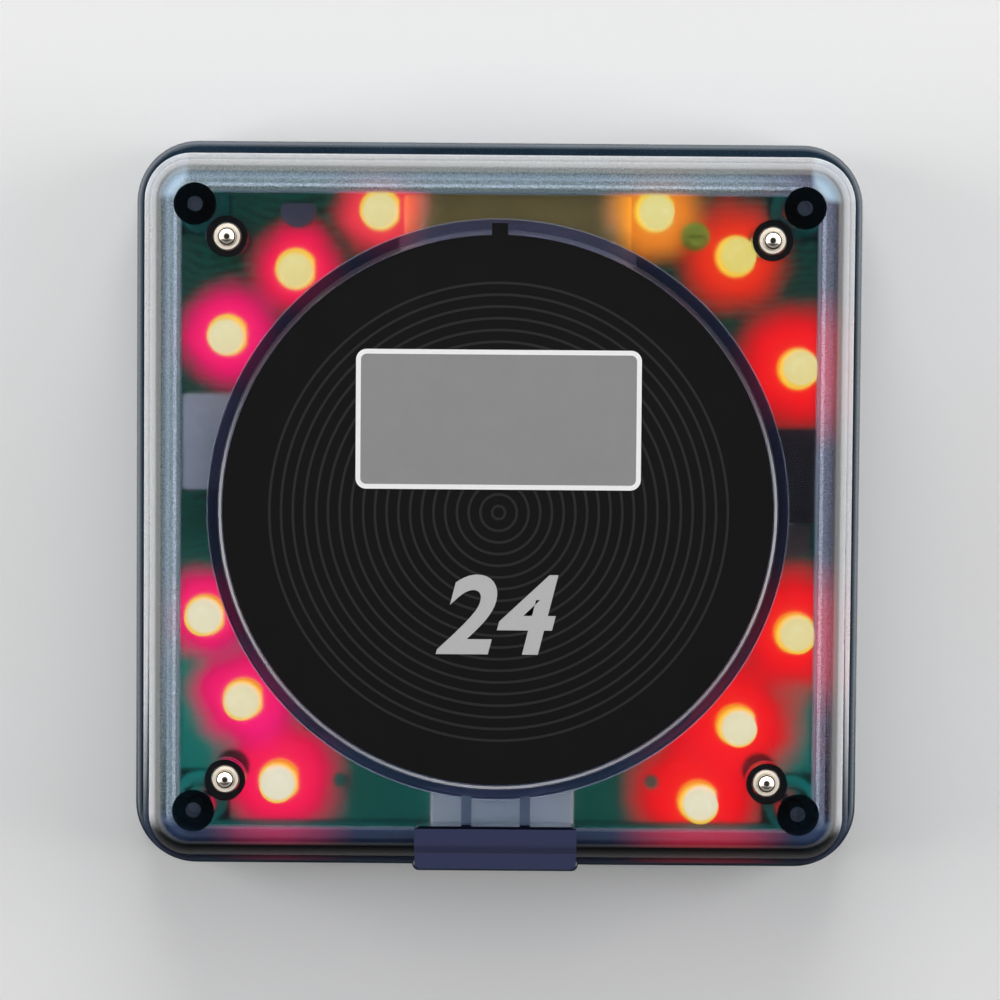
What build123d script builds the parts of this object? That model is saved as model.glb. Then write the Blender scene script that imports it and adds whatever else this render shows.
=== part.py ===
from build123d import *
import math
import os

# Guest pager: a square coaster-style pager that stacks on its charger and lights up, buzzes and
# beeps when it is called. Millimetres. +Z points out of the face, +Y to the battery end.
# The housing's own centre is (0, 0); FRAME_SHIFT moves everything so that the frame's origin is
# the bottom centre of the whole box, key lug included.

# ---- driving dimensions: housing ----
BASE_WIDTH = 101.6          # stacking rim, square
BASE_CORNER_R = 8.6
BASE_HEIGHT = 9.5           # rim's top, where the cover comes out of it
RIM_EDGE_R = 0.9            # rounded upper edge of the rim
RIM_FOOT_R = 0.4            # rounded lower edge of the rim
NEST_DEPTH = 2.0            # how far the rim reaches over the pager below
NEST_CLEARANCE = 0.35       # each side, rim to the cover it nests over
FLOOR_THICKNESS = 2.0
LEDGE_WIDTH = 1.9           # rim's outer face to the cover's outer face at the rim's top
LAP_CLEARANCE = 0.15        # cover's skirt in the rim
LAP_DEPTH = 1.9             # cover's skirt below the rim's top
SEAL_THICKNESS = 0.6
SEAL_MARGIN = 0.3           # seal narrower than the cover wall, each side
SHOULDER_REACH = 1.5        # base wall inside the cover's inner face
INNER_WALL = 2.0            # base wall round the board
SHOULDER_THICKNESS = 1.8    # plastic left under the seal by the coring groove

COVER_WALL = 2.4
COVER_TOP = 2.0
HEADROOM = 1.8              # battery pack's top to the cover's roof
COVER_DRAFT = 1.5           # degrees
COVER_BEAD_R = 3.0          # big outer edge round the face
COVER_INNER_R = 2.8         # round the roof's inside, which keeps the wall even under the bead

# ---- label and its ring ----
LABEL_INSET = 13.1          # from the rim's outer faces to the label's edge
LABEL_THICKNESS = 0.25
LABEL_CLEARANCE = 0.15
LABEL_RECESS = 0.8          # recess depth below the face
LABEL_LEAD_IN = (0.35, 0.25)    # bevel round the recess's mouth: outwards, down
LABEL_TAB_WIDTH = 2.2
LABEL_TAB_LENGTH = 1.6
RING_WALL = 1.9             # ring wall that hangs under the recess
RING_DEPTH = 4.0
RING_OVER_PACK = 0.9        # what is left of the ring wall above the battery pack
PATCH_WIDTH = 39.0
PATCH_HEIGHT = 19.1
PATCH_CENTRE_Y = 12.5
PATCH_CORNER_R = 1.5
PATCH_THICKNESS = 0.1

# ---- key lug at the front ----
LUG_WIDTH = 22.2
LUG_INSET = 5.4             # how far the lug reaches in from its outer face
LUG_STANDOUT = 0.4          # lug's face beyond the cover's side
LUG_DEPTH = 6.0             # solid part under its top
LUG_SKIN = 1.6              # thickness of the lug's outer face below that
LUG_TOP_DROP = 0.4
LUG_CORNER_R = 0.9
BUMP_WIDTH = 23.4           # matching bump on the rim
BUMP_STANDOUT = 0.9
NOTCH_CLEARANCE = 0.4       # lug in the notch of the pager above
RIB_THICKNESS = 1.4
RIB_SPACING = 8.05          # between the two ribs that tie lug and ring
RIB_BITE = 0.5              # how far a rib goes into the lug

# ---- screws ----
SCREW_INSET = 9.15          # from the rim's outer faces to the screw axes
BOSS_RADIUS = 2.9
PILOT_RADIUS = 1.05
PILOT_ROOF = 1.0            # boss left solid between the pilot hole and the roof
BOSS_SEAT_Z = 8.0           # where the cover's bosses stand on the base's columns
SCREW_RADIUS = 1.0
SCREW_THREAD_LENGTH = 8.0   # in the cover's boss
SCREW_HEAD_RADIUS = 2.4
SCREW_HEAD_HEIGHT = 1.7
SCREW_HOLE_CLEARANCE = 0.3
HEAD_RECESS = 2.6           # counterbore depth above the floor's underside
COLUMN_WALL = 1.1

# ---- sprung charging contacts ----
CONTACT_INSET = 13.6        # from the rim's outer faces to the contact axes
CONTACT_RECESS_RADIUS = 2.85
CONTACT_RECESS = 1.3
CONTACT_COLUMN_RADIUS = 2.9
CONTACT_COLUMN_DEPTH = 1.2
CONTACT_SEAL_HEIGHT = 0.5   # soft ring round the collar, on the recess floor
CONTACT_SEAL_MARGIN = 0.05
COLLAR_RADIUS = 1.95
COLLAR_HEIGHT = 1.5
COLLAR_DROP = 0.9           # collar's top below the face
COLLAR_CLEARANCE = 0.15
BARREL_RADIUS = 1.75
SOLDER_FOOT_RADIUS = 2.4
SOLDER_FOOT_HEIGHT = 0.6
PLUNGER_RADIUS = 1.25
PLUNGER_FIT = 0.06          # running clearance, radial
PLUNGER_ROUNDING = 0.8      # share of the tip's radius that is rounded over
PLUNGER_STANDOUT = 0.4      # tip above the face
PLUNGER_SHOULDER_RADIUS = 1.39
PLUNGER_SHOULDER_HEIGHT = 1.4
PLUNGER_STEM_RADIUS = 0.65
PLUNGER_STEM_LENGTH = 3.0
BARREL_LIP = 1.2            # lip at the barrel's mouth that keeps the plunger in
SPRING_WIRE_RADIUS = 0.14
SPRING_LENGTH = 4.8
SPRING_TURNS = 5
SPRING_CLEARANCE = 0.1
STUD_HEAD_RADIUS = 2.5
STUD_HEAD_HEIGHT = 0.4
STUD_SHANK_RADIUS = 1.5
STUD_CLEARANCE = 0.05

# ---- circuit board ----
BOARD_GAP = 2.0             # floor to board
BOARD_THICKNESS = 1.6
BOARD_CLEARANCE = 0.35
BOARD_CORNER_R = 2.0
NOTCH_GAP = 0.35            # board's corner notches round the screw columns
POST_RADIUS = 2.2
PIN_RADIUS = 0.95
PIN_CLEARANCE = 0.1
PIN_STANDOUT = 0.6
POST_SIDE_INSET = 22.65     # posts in from the board's sides, back edge and front edge
POST_BACK_INSET = 21.65
POST_FRONT_INSET = 5.65

# Parts near the board's edges: (side, inset from the board's edge, place along that side), or in
# from two edges: (corner, inset from the left or right edge, inset from the top or bottom edge).
LED_SPOTS = [
    ("top", 3.4, -16.6),
    ("top left", 16.35, 11.7),
    ("top left", 6.9, 20.95),
    ("top", 3.4, 21.5),
    ("top right", 11.85, 9.5),
    ("top right", 3.0, 25.05),
    ("bottom left", 3.9, 29.25),
    ("bottom left", 9.3, 17.55),
    ("bottom left", 14.35, 6.1),
    ("bottom right", 3.0, 27.35),
    ("bottom right", 11.0, 14.35),
    ("bottom right", 16.25, 3.6),
]
LED_RADIUS = 2.5
LED_FLANGE_RADIUS = 2.9
LED_FLANGE_HEIGHT = 1.0
LED_HEIGHT = 8.6
LED_STANDOFF = 3.4
LED_LEAD_SPACING = 2.54
LED_LEAD_SIZE = 0.5
LED_RELIEF = 0.5            # room round a lamp in the cover's ring wall and ribs
RESISTOR_SIZE = (2.0, 1.25, 0.5)
RESISTOR_GAP = 4.6          # from the lamp's axis, towards the middle

# ---- battery pack ----
CELL_RADIUS = 5.1
CELL_LENGTH = 43.0
CELL_COUNT = 3
CELL_NUB_RADIUS = 1.9
CELL_NUB_HEIGHT = 0.8
CELL_GAP = 0.1
WRAP_THICKNESS = 0.25
WRAP_CLEARANCE = 0.05
WRAP_LIP = 1.2
PACK_PAD = 0.8              # foam pad under the pack
PACK_EDGE_GAP = 1.4         # pack's end to the board's edge
PACK_CENTRE_X = 2.45
TAB_WIDTH = 4.0
TAB_THICKNESS = 0.2

# ---- lead connector at the front ----
HEADER_WIDTH = 19.9
HEADER_DEPTH = 5.6
HEADER_HEIGHT = 5.0
HEADER_WALL = 0.8
HEADER_FLOOR = 1.2
HEADER_CENTRE_X = 0.9
HEADER_EDGE_GAP = 0.4
PLUG_CLEARANCE = 0.1
PLUG_HEIGHT = 6.6
LEAD_RADIUS = 0.65
LEAD_SPACING = 2.5
LEAD_BEND_R = 5.0
LEAD_BITE = 1.0             # how far a lead goes into what holds it
PACK_LEAD_SPACING = 2.6     # the pack's two leads, where they leave it
PACK_LEAD_SHIFT = 2.2       # the first of them, to the left of the first cell's axis
PACK_LEAD_RUN = 8.0         # straight run out of the pack
PLUG_LEAD_RUN = 15.0        # straight run into the plug
MOTOR_LEAD_RISE = 1.2       # one above and one below the motor's axis
MOTOR_LEAD_SETBACK = 4.0    # from the boot's closed end
MOTOR_LEAD_RUN = 4.5        # straight run out of the boot
MOTOR_LEAD_DROP = (2.0, 12.0)   # from there to the bend beside the label ring
MOTOR_LEAD_BEND_R = 3.0

# ---- vibration motor ----
MOTOR_RADIUS = 3.0
MOTOR_LENGTH = 12.0
MOTOR_NOSE_Y = -1.7
BOOT_WALL = 1.0
BOOT_CORNER_R = 1.6
BOOT_EDGE_GAP = 0.2
SHAFT_RADIUS = 0.5
SHAFT_FIT = 0.06
SHAFT_LENGTH = 12.5
SHAFT_BORE = 8.0
WEIGHT_RADIUS = 2.8
WEIGHT_LENGTH = 4.0
WEIGHT_GAP = 0.5

# ---- other parts on the board ----
CAN_SIZE = (14.0, 13.3, 3.4)
CAN_EDGE_GAP = 0.6
CAN_CENTRE_Y = 8.8
CAN_SKIN = 0.3
CHIP_SIZE = 10.0
CHIP_HEIGHT = 1.4
CHIP_STANDOFF = 0.15
CHIP_CENTRE = (-12.0, -17.0)
CHIP_PINS_PER_SIDE = 8
CHIP_PIN_PITCH = 0.8
CHIP_PIN_REACH = 1.3
CHIP_PIN_THICKNESS = 0.2
CHIP_PIN_WIDTH = 0.3
CRYSTAL_SIZE = (11.0, 4.6, 3.5)
CRYSTAL_CENTRE = (6.0, -12.0)
BUZZER_RADIUS = 6.0
BUZZER_HEIGHT = 8.5
BUZZER_HOLE_RADIUS = 1.1
BUZZER_SPOT = ("bottom right", 22.65, 19.65)
CAPACITOR_RADIUS = 2.5
CAPACITOR_HEIGHT = 7.0
CAPACITOR_SPOTS = [("left", 22.65, 10.0), ("left", 22.65, 3.5)]
TRANSISTOR_SPOT = ("top", 3.75, -28.0)
TRANSISTOR_RADIUS = 2.3
TRANSISTOR_FLAT = 1.1
TRANSISTOR_HEIGHT = 4.6
TRANSISTOR_STANDOFF = 2.0
TRIMMER_SPOT = ("top", 6.75, 27.3)
TRIMMER_RADIUS = 2.0
TRIMMER_HEIGHT = 3.3
ANTENNA_SPAN = 20.0
ANTENNA_HEIGHT = 7.0
ANTENNA_RADIUS = 0.5
ANTENNA_BEND_R = 2.0
ANTENNA_SPOT = ("bottom", 13.65, -16.5)

# ---- worked out from the sizes above ----
BASE_HALF = BASE_WIDTH / 2
LABEL_RADIUS = BASE_HALF - LABEL_INSET
FLOOR_Z = NEST_DEPTH + FLOOR_THICKNESS
BOARD_Z = FLOOR_Z + BOARD_GAP
BOARD_TOP = BOARD_Z + BOARD_THICKNESS
PACK_SKIN = WRAP_CLEARANCE + WRAP_THICKNESS
PACK_AXIS_Z = BOARD_TOP + PACK_PAD + PACK_SKIN + CELL_RADIUS
ROOF_Z = PACK_AXIS_Z + CELL_RADIUS + PACK_SKIN + HEADROOM
TOTAL_HEIGHT = ROOF_Z + COVER_TOP
FRAME_SHIFT = Pos(0, BUMP_STANDOUT / 2, 0)
COVER_HALF = BASE_HALF - LEDGE_WIDTH
COVER_CORNER_R = BASE_CORNER_R - LEDGE_WIDTH
COVER_FOOT_Z = BASE_HEIGHT - LAP_DEPTH
SHOULDER_Z = COVER_FOOT_Z - SEAL_THICKNESS
DRAFT_RUN = math.tan(math.radians(COVER_DRAFT))
COVER_TOP_HALF = COVER_HALF - DRAFT_RUN * (TOTAL_HEIGHT - BASE_HEIGHT)
NEST_HALF = COVER_TOP_HALF + DRAFT_RUN * NEST_DEPTH + NEST_CLEARANCE
NEST_CORNER_R = BASE_CORNER_R - (BASE_HALF - NEST_HALF)
LAP_HALF = COVER_HALF + LAP_CLEARANCE
LAP_CORNER_R = COVER_CORNER_R + LAP_CLEARANCE
COVER_INNER_HALF = COVER_HALF - COVER_WALL
INNER_HALF = COVER_INNER_HALF - SHOULDER_REACH
RECESS_Z = TOTAL_HEIGHT - LABEL_RECESS
LABEL_RECESS_R = LABEL_RADIUS + LABEL_CLEARANCE
RING_OUTER_R = LABEL_RECESS_R + RING_WALL
RING_FOOT_Z = ROOF_Z - RING_DEPTH
BOARD_HALF = INNER_HALF - BOARD_CLEARANCE
SCREW_AT = BASE_HALF - SCREW_INSET
CONTACT_AT = BASE_HALF - CONTACT_INSET
SCREW_HOLE_R = SCREW_RADIUS + SCREW_HOLE_CLEARANCE
HEAD_RECESS_R = SCREW_HEAD_RADIUS + SCREW_HOLE_CLEARANCE
COLUMN_RADIUS = HEAD_RECESS_R + COLUMN_WALL
HEAD_SEAT_Z = NEST_DEPTH + HEAD_RECESS
LUG_FACE_Y = -(COVER_HALF + LUG_STANDOUT)
LUG_BACK_Y = -(COVER_TOP_HALF + LUG_STANDOUT) + LUG_INSET
LUG_TOP_Z = TOTAL_HEIGHT - LUG_TOP_DROP
COLLAR_TOP = TOTAL_HEIGHT - COLLAR_DROP
BARREL_BORE_R = PLUNGER_SHOULDER_RADIUS + PLUNGER_FIT
MOUTH_R = PLUNGER_RADIUS + PLUNGER_FIT
STOP_Z = COLLAR_TOP - BARREL_LIP
SPRING_TOP = STOP_Z - PLUNGER_SHOULDER_HEIGHT
SPRING_FOOT = SPRING_TOP - SPRING_LENGTH
SPRING_RADIUS = BARREL_BORE_R - SPRING_CLEARANCE - SPRING_WIRE_RADIUS
PACK_WIDTH = CELL_COUNT * 2 * CELL_RADIUS + (CELL_COUNT - 1) * CELL_GAP
PACK_END_Y = BOARD_HALF - PACK_EDGE_GAP
PACK_FRONT_Y = PACK_END_Y - CELL_LENGTH - 2 * TAB_THICKNESS - 2 * PACK_SKIN
HEADER_Y = -BOARD_HALF + HEADER_EDGE_GAP + HEADER_DEPTH / 2
PLUG_FOOT_Z = BOARD_TOP + HEADER_FLOOR
PLUG_TOP_Z = PLUG_FOOT_Z + PLUG_HEIGHT
BOOT_HALF = MOTOR_RADIUS + BOOT_WALL
MOTOR_X = INNER_HALF - BOOT_EDGE_GAP - BOOT_HALF
MOTOR_Z = BOARD_TOP + BOOT_HALF
CORNERS = [(-1, 1), (1, 1), (-1, -1), (1, -1)]
SIDES = {"top": (0, 1), "bottom": (0, -1), "left": (-1, 0), "right": (1, 0)}
BOARD_CORNERS = {"top left": (-1, 1), "top right": (1, 1), "bottom left": (-1, -1), "bottom right": (1, -1)}


def put(node, shape):
    """Writes one node's solids, moved into the shared frame."""
    export_step(FRAME_SHIFT * shape, f"parts/{node}.step")


def slab(half_x, half_y, corner_r, z0, z1, draft=0.0):
    """Rounded-corner block from z0 up to z1; draft leans its sides inwards."""
    outline = RectangleRounded(2 * half_x, 2 * half_y, corner_r)
    return Pos(0, 0, z0) * extrude(outline, z1 - z0, taper=draft)


def disc(radius, z0, z1, at=(0, 0)):
    return Pos(at[0], at[1], z0) * extrude(Circle(radius), z1 - z0)


def block(x0, x1, y0, y1, z0, z1):
    return Pos((x0 + x1) / 2, (y0 + y1) / 2, (z0 + z1) / 2) * Box(x1 - x0, y1 - y0, z1 - z0)


def corner_points(distance):
    return [(sx * distance, sy * distance) for sx, sy in CORNERS]


def top_edges(shape):
    return shape.faces().sort_by(Axis.Z)[-1].edges()


def bottom_edges(shape):
    return shape.faces().sort_by(Axis.Z)[0].edges()


def beside(spot):
    """Where a part stands, worked out from the board's edge or from the two edges that it stands by."""
    side, inset, along = spot
    edge = BOARD_HALF - inset
    if side in BOARD_CORNERS:
        sx, sy = BOARD_CORNERS[side]
        return sx * edge, sy * (BOARD_HALF - along)
    sx, sy = SIDES[side]
    return sx * edge + abs(sy) * along, sy * edge + abs(sx) * along


def led_points():
    return [beside(spot) for spot in LED_SPOTS]


def post_points():
    half_x = BOARD_HALF - POST_SIDE_INSET
    back = BOARD_HALF - POST_BACK_INSET
    front = POST_FRONT_INSET - BOARD_HALF
    return [(-half_x, back), (half_x, back), (-half_x, front), (half_x, front)]


# ---- housing ----
def base_shell():
    """Lower shell: nesting rim, floor, board wall, screw columns and board posts."""
    body = slab(BASE_HALF, BASE_HALF, BASE_CORNER_R, 0, BASE_HEIGHT)
    body = fillet(top_edges(body), RIM_EDGE_R)
    body = fillet(bottom_edges(body), RIM_FOOT_R)
    notch_top = NEST_DEPTH + NOTCH_CLEARANCE
    bump_run = BASE_CORNER_R + BUMP_STANDOUT
    bump = extrude(RectangleRounded(BUMP_WIDTH, 2 * bump_run, LUG_CORNER_R), BASE_HEIGHT - notch_top)
    bump = fillet(top_edges(bump), RIM_EDGE_R * 0.6)
    body += Pos(0, -BASE_HALF - BUMP_STANDOUT + bump_run, notch_top) * bump

    body -= slab(NEST_HALF, NEST_HALF, NEST_CORNER_R, -1, NEST_DEPTH)
    body -= slab(LAP_HALF, LAP_HALF, LAP_CORNER_R, SHOULDER_Z, BASE_HEIGHT + 1)
    inner_r = max(COVER_CORNER_R - (COVER_HALF - INNER_HALF), 1.0)
    body -= slab(INNER_HALF, INNER_HALF, inner_r, FLOOR_Z, BASE_HEIGHT + 1)
    wall_half = INNER_HALF + INNER_WALL
    groove = slab(NEST_HALF, NEST_HALF, NEST_CORNER_R, NEST_DEPTH - 1, SHOULDER_Z - SHOULDER_THICKNESS)
    groove -= slab(wall_half, wall_half, inner_r + INNER_WALL, 0, BASE_HEIGHT)
    body -= groove

    notch_half = LUG_WIDTH / 2 + NOTCH_CLEARANCE
    body -= block(-notch_half, notch_half, -BASE_HALF - 2, -NEST_HALF + 1, -1, notch_top)

    for at in corner_points(SCREW_AT):
        body += disc(COLUMN_RADIUS, NEST_DEPTH, BOSS_SEAT_Z, at)
    for at in post_points():
        body += disc(POST_RADIUS, FLOOR_Z, BOARD_Z, at)
        body += disc(PIN_RADIUS, BOARD_Z, BOARD_TOP + PIN_STANDOUT, at)
    for at in corner_points(SCREW_AT):
        body -= disc(SCREW_HOLE_R, 0, BASE_HEIGHT, at)
        body -= disc(HEAD_RECESS_R, 0, HEAD_SEAT_Z, at)
    for at in corner_points(CONTACT_AT):
        body -= disc(STUD_SHANK_RADIUS + STUD_CLEARANCE, 0, BOARD_Z, at)
    return body


def lug_block():
    """Key lug: a solid block under its top, only a skin further down the cover's side."""
    half = LUG_WIDTH / 2
    top = block(-half, half, LUG_FACE_Y, LUG_BACK_Y, LUG_TOP_Z - LUG_DEPTH, LUG_TOP_Z)
    top = fillet(top.edges().filter_by(Axis.Z), LUG_CORNER_R)
    skirt = block(-half, half, LUG_FACE_Y, LUG_FACE_Y + LUG_SKIN, BASE_HEIGHT + LAP_CLEARANCE, LUG_TOP_Z - 1)
    skirt = fillet(skirt.edges().filter_by(Axis.Z).group_by(Axis.Y)[0], LUG_CORNER_R)
    return top + skirt


def top_cover():
    """Clear smoke cover: drafted shell, label recess and ring wall, bosses, contact columns, key lug."""
    body = slab(COVER_HALF, COVER_HALF, COVER_CORNER_R, BASE_HEIGHT, TOTAL_HEIGHT, COVER_DRAFT)
    body = fillet(top_edges(body), COVER_BEAD_R)
    body += slab(COVER_HALF, COVER_HALF, COVER_CORNER_R, COVER_FOOT_Z, BASE_HEIGHT)
    inner_r = COVER_CORNER_R - COVER_WALL
    room = slab(COVER_INNER_HALF, COVER_INNER_HALF, inner_r, BASE_HEIGHT, ROOF_Z, COVER_DRAFT)
    room = fillet(top_edges(room), COVER_INNER_R)
    room += slab(COVER_INNER_HALF, COVER_INNER_HALF, inner_r, COVER_FOOT_Z - 1, BASE_HEIGHT)
    body -= room
    body += lug_block()

    ring = disc(RING_OUTER_R, RING_FOOT_Z, ROOF_Z + 0.5) - disc(LABEL_RECESS_R, 0, TOTAL_HEIGHT)
    pack_half = PACK_WIDTH / 2 + PACK_SKIN + LED_RELIEF
    pack_top = ROOF_Z - RING_OVER_PACK
    pack_x = PACK_CENTRE_X
    ring -= block(pack_x - pack_half, pack_x + pack_half, 0, BASE_HALF, RING_FOOT_Z - 1, pack_top)
    for side in (-1, 1):
        rib_x = side * RIB_SPACING / 2
        half = RIB_THICKNESS / 2
        rib_back = -math.sqrt(RING_OUTER_R ** 2 - (abs(rib_x) + half) ** 2) + RING_WALL / 4
        ring += block(rib_x - half, rib_x + half, LUG_BACK_Y - RIB_BITE, rib_back, RING_FOOT_Z, ROOF_Z + 0.5)
    for at in led_points():
        ring -= disc(LED_FLANGE_RADIUS + LED_RELIEF, 0, ROOF_Z - 0.5, at)
    body += ring

    for at in corner_points(CONTACT_AT):
        body += disc(CONTACT_COLUMN_RADIUS, ROOF_Z - CONTACT_COLUMN_DEPTH, ROOF_Z + 0.5, at)
    for at in corner_points(SCREW_AT):
        body += disc(BOSS_RADIUS, BOSS_SEAT_Z, ROOF_Z + 0.5, at)
    for at in corner_points(SCREW_AT):
        body -= disc(PILOT_RADIUS, 0, ROOF_Z - PILOT_ROOF, at)
    for at in corner_points(CONTACT_AT):
        body -= disc(COLLAR_RADIUS + COLLAR_CLEARANCE, 0, TOTAL_HEIGHT + 1, at)
        body -= disc(CONTACT_RECESS_RADIUS, TOTAL_HEIGHT - CONTACT_RECESS, TOTAL_HEIGHT + 1, at)

    body -= disc(LABEL_RECESS_R, RECESS_Z, TOTAL_HEIGHT + 1)
    run, drop = LABEL_LEAD_IN
    body -= Pos(0, 0, TOTAL_HEIGHT - drop / 2) * Cone(LABEL_RECESS_R, LABEL_RECESS_R + run, drop)
    tab_half = LABEL_TAB_WIDTH / 2 + LABEL_CLEARANCE
    tab_end = LABEL_RADIUS + LABEL_TAB_LENGTH + LABEL_CLEARANCE
    body -= block(-tab_half, tab_half, LABEL_RADIUS - 2, tab_end, RECESS_Z, TOTAL_HEIGHT + 1)
    return body


def rim_seal():
    """Square seal ring between the base's shoulder and the cover's foot."""
    outer_half = COVER_HALF - SEAL_MARGIN
    inner_half = COVER_INNER_HALF + SEAL_MARGIN
    inner_r = COVER_CORNER_R - COVER_WALL + SEAL_MARGIN
    seal = slab(outer_half, outer_half, COVER_CORNER_R - SEAL_MARGIN, SHOULDER_Z, COVER_FOOT_Z)
    return seal - slab(inner_half, inner_half, inner_r, 0, TOTAL_HEIGHT)


def face_label():
    """Round face label with its key tab, in the cover's recess."""
    label = disc(LABEL_RADIUS, RECESS_Z, RECESS_Z + LABEL_THICKNESS)
    tab_half = LABEL_TAB_WIDTH / 2
    tab_end = LABEL_RADIUS + LABEL_TAB_LENGTH
    label += block(-tab_half, tab_half, LABEL_RADIUS - 2, tab_end, RECESS_Z, RECESS_Z + LABEL_THICKNESS)
    return label


def number_patch():
    """Plain write-on patch on the face label."""
    z = RECESS_Z + LABEL_THICKNESS
    patch = slab(PATCH_WIDTH / 2, PATCH_HEIGHT / 2, PATCH_CORNER_R, z, z + PATCH_THICKNESS)
    return Pos(0, PATCH_CENTRE_Y, 0) * patch


def case_screws():
    """Four cross-head screws, driven up through the base into the cover's bosses."""
    screws = []
    for at in corner_points(SCREW_AT):
        shank = disc(SCREW_RADIUS, HEAD_SEAT_Z, BOSS_SEAT_Z + SCREW_THREAD_LENGTH, at)
        head = disc(SCREW_HEAD_RADIUS, HEAD_SEAT_Z - SCREW_HEAD_HEIGHT, HEAD_SEAT_Z, at)
        head = fillet(bottom_edges(head), 0.6)
        cross = Box(2.4, 0.5, 1.6) + Box(0.5, 2.4, 1.6)
        screws.append(head + shank - Pos(at[0], at[1], HEAD_SEAT_Z - SCREW_HEAD_HEIGHT) * cross)
    return Compound(screws)


# ---- sprung charging contacts ----
def contact_sleeve(at):
    """Contact's barrel: solder foot, tube, and the collar that shows in the cover's recess."""
    sleeve = disc(BARREL_RADIUS, BOARD_TOP, COLLAR_TOP, at)
    sleeve += disc(SOLDER_FOOT_RADIUS, BOARD_TOP, BOARD_TOP + SOLDER_FOOT_HEIGHT, at)
    collar = disc(COLLAR_RADIUS, COLLAR_TOP - COLLAR_HEIGHT, COLLAR_TOP, at)
    sleeve += fillet(top_edges(collar), 0.35)
    sleeve -= disc(BARREL_BORE_R, SPRING_FOOT, STOP_Z, at)
    return sleeve - disc(MOUTH_R, STOP_Z - 0.1, COLLAR_TOP + 1, at)


def contact_plunger(at):
    """Plunger: domed tip, the shoulder that keeps it in its barrel, and the spring's guide stem."""
    tip = disc(PLUNGER_RADIUS, STOP_Z, TOTAL_HEIGHT + PLUNGER_STANDOUT, at)
    tip = fillet(top_edges(tip), PLUNGER_RADIUS * PLUNGER_ROUNDING)
    shoulder = disc(PLUNGER_SHOULDER_RADIUS, SPRING_TOP, STOP_Z, at)
    stem = disc(PLUNGER_STEM_RADIUS, SPRING_TOP - PLUNGER_STEM_LENGTH, SPRING_TOP, at)
    return tip + shoulder + stem


def contact_spring(at):
    """Coil spring that pushes the plunger up."""
    height = SPRING_LENGTH - 2 * SPRING_WIRE_RADIUS
    path = Helix(height / SPRING_TURNS, height, SPRING_RADIUS)
    section = Plane(path @ 0, z_dir=path % 0) * Circle(SPRING_WIRE_RADIUS)
    coil = sweep(section, path, is_frenet=True)
    return Pos(at[0], at[1], SPRING_FOOT + SPRING_WIRE_RADIUS) * coil


def contact_seals():
    """Soft black ring round each collar, on the floor of its recess."""
    floor = TOTAL_HEIGHT - CONTACT_RECESS
    outer = CONTACT_RECESS_RADIUS - CONTACT_SEAL_MARGIN
    rings = []
    for at in corner_points(CONTACT_AT):
        ring = disc(outer, floor, floor + CONTACT_SEAL_HEIGHT, at)
        rings.append(ring - disc(COLLAR_RADIUS + CONTACT_SEAL_MARGIN, 0, TOTAL_HEIGHT, at))
    return Compound(rings)


def stack_contacts():
    """Four flat studs under the floor, which press on the plungers of the pager below."""
    studs = []
    for at in corner_points(CONTACT_AT):
        head = disc(STUD_HEAD_RADIUS, NEST_DEPTH - STUD_HEAD_HEIGHT, NEST_DEPTH, at)
        head = chamfer(bottom_edges(head), 0.15)
        studs.append(head + disc(STUD_SHANK_RADIUS, NEST_DEPTH, BOARD_Z, at))
    return Compound(studs)


# ---- board and lamps ----
def circuit_board():
    board = slab(BOARD_HALF, BOARD_HALF, BOARD_CORNER_R, BOARD_Z, BOARD_TOP)
    notch_r = COLUMN_RADIUS + NOTCH_GAP
    reach = BASE_HALF
    for sx, sy in CORNERS:
        notch = slab(reach, reach, notch_r, BOARD_Z - 1, BOARD_TOP + 1)
        centre = SCREW_AT - notch_r + reach
        board -= Pos(sx * centre, sy * centre, 0) * notch
    for at in post_points():
        board -= disc(PIN_RADIUS + PIN_CLEARANCE, 0, TOTAL_HEIGHT, at)
    return board


def led(at):
    """Round-top lamp with its flange and the flat on the flange's cathode side."""
    flange_z = BOARD_TOP + LED_STANDOFF
    dome_z = flange_z + LED_HEIGHT - LED_RADIUS
    body = disc(LED_RADIUS, flange_z, dome_z) + Pos(0, 0, dome_z) * Sphere(LED_RADIUS)
    flange = disc(LED_FLANGE_RADIUS, flange_z, flange_z + LED_FLANGE_HEIGHT)
    flat = LED_RADIUS + 0.05
    flange -= block(flat, flat + 2, -5, 5, flange_z - 1, flange_z + 2)
    return Pos(at[0], at[1], 0) * (body + flange)


def led_leads():
    """Two square wires under each lamp, from the board up to its flange."""
    leads = []
    top = BOARD_TOP + LED_STANDOFF
    half = LED_LEAD_SIZE / 2
    for x, y in led_points():
        for side in (-1, 1):
            cx = x + side * LED_LEAD_SPACING / 2
            leads.append(block(cx - half, cx + half, y - half, y + half, BOARD_TOP, top))
    return Compound(leads)


def chip_resistors():
    """One chip resistor beside each lamp, on its inner side."""
    length, width, height = RESISTOR_SIZE
    chips = []
    for x, y in led_points():
        distance = math.hypot(x, y)
        scale = (distance - RESISTOR_GAP) / distance
        chip = Pos(x * scale, y * scale, BOARD_TOP + height / 2) * Box(length, width, height)
        chips.append(chip)
    return Compound(chips)


# ---- battery pack ----
def cell_x(index):
    return PACK_CENTRE_X + (index - (CELL_COUNT - 1) / 2) * (2 * CELL_RADIUS + CELL_GAP)


def cell_span():
    """A cell's two end planes along Y, inside the tabs and the wrap."""
    high = PACK_END_Y - PACK_SKIN - TAB_THICKNESS
    return high - CELL_LENGTH, high


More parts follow.
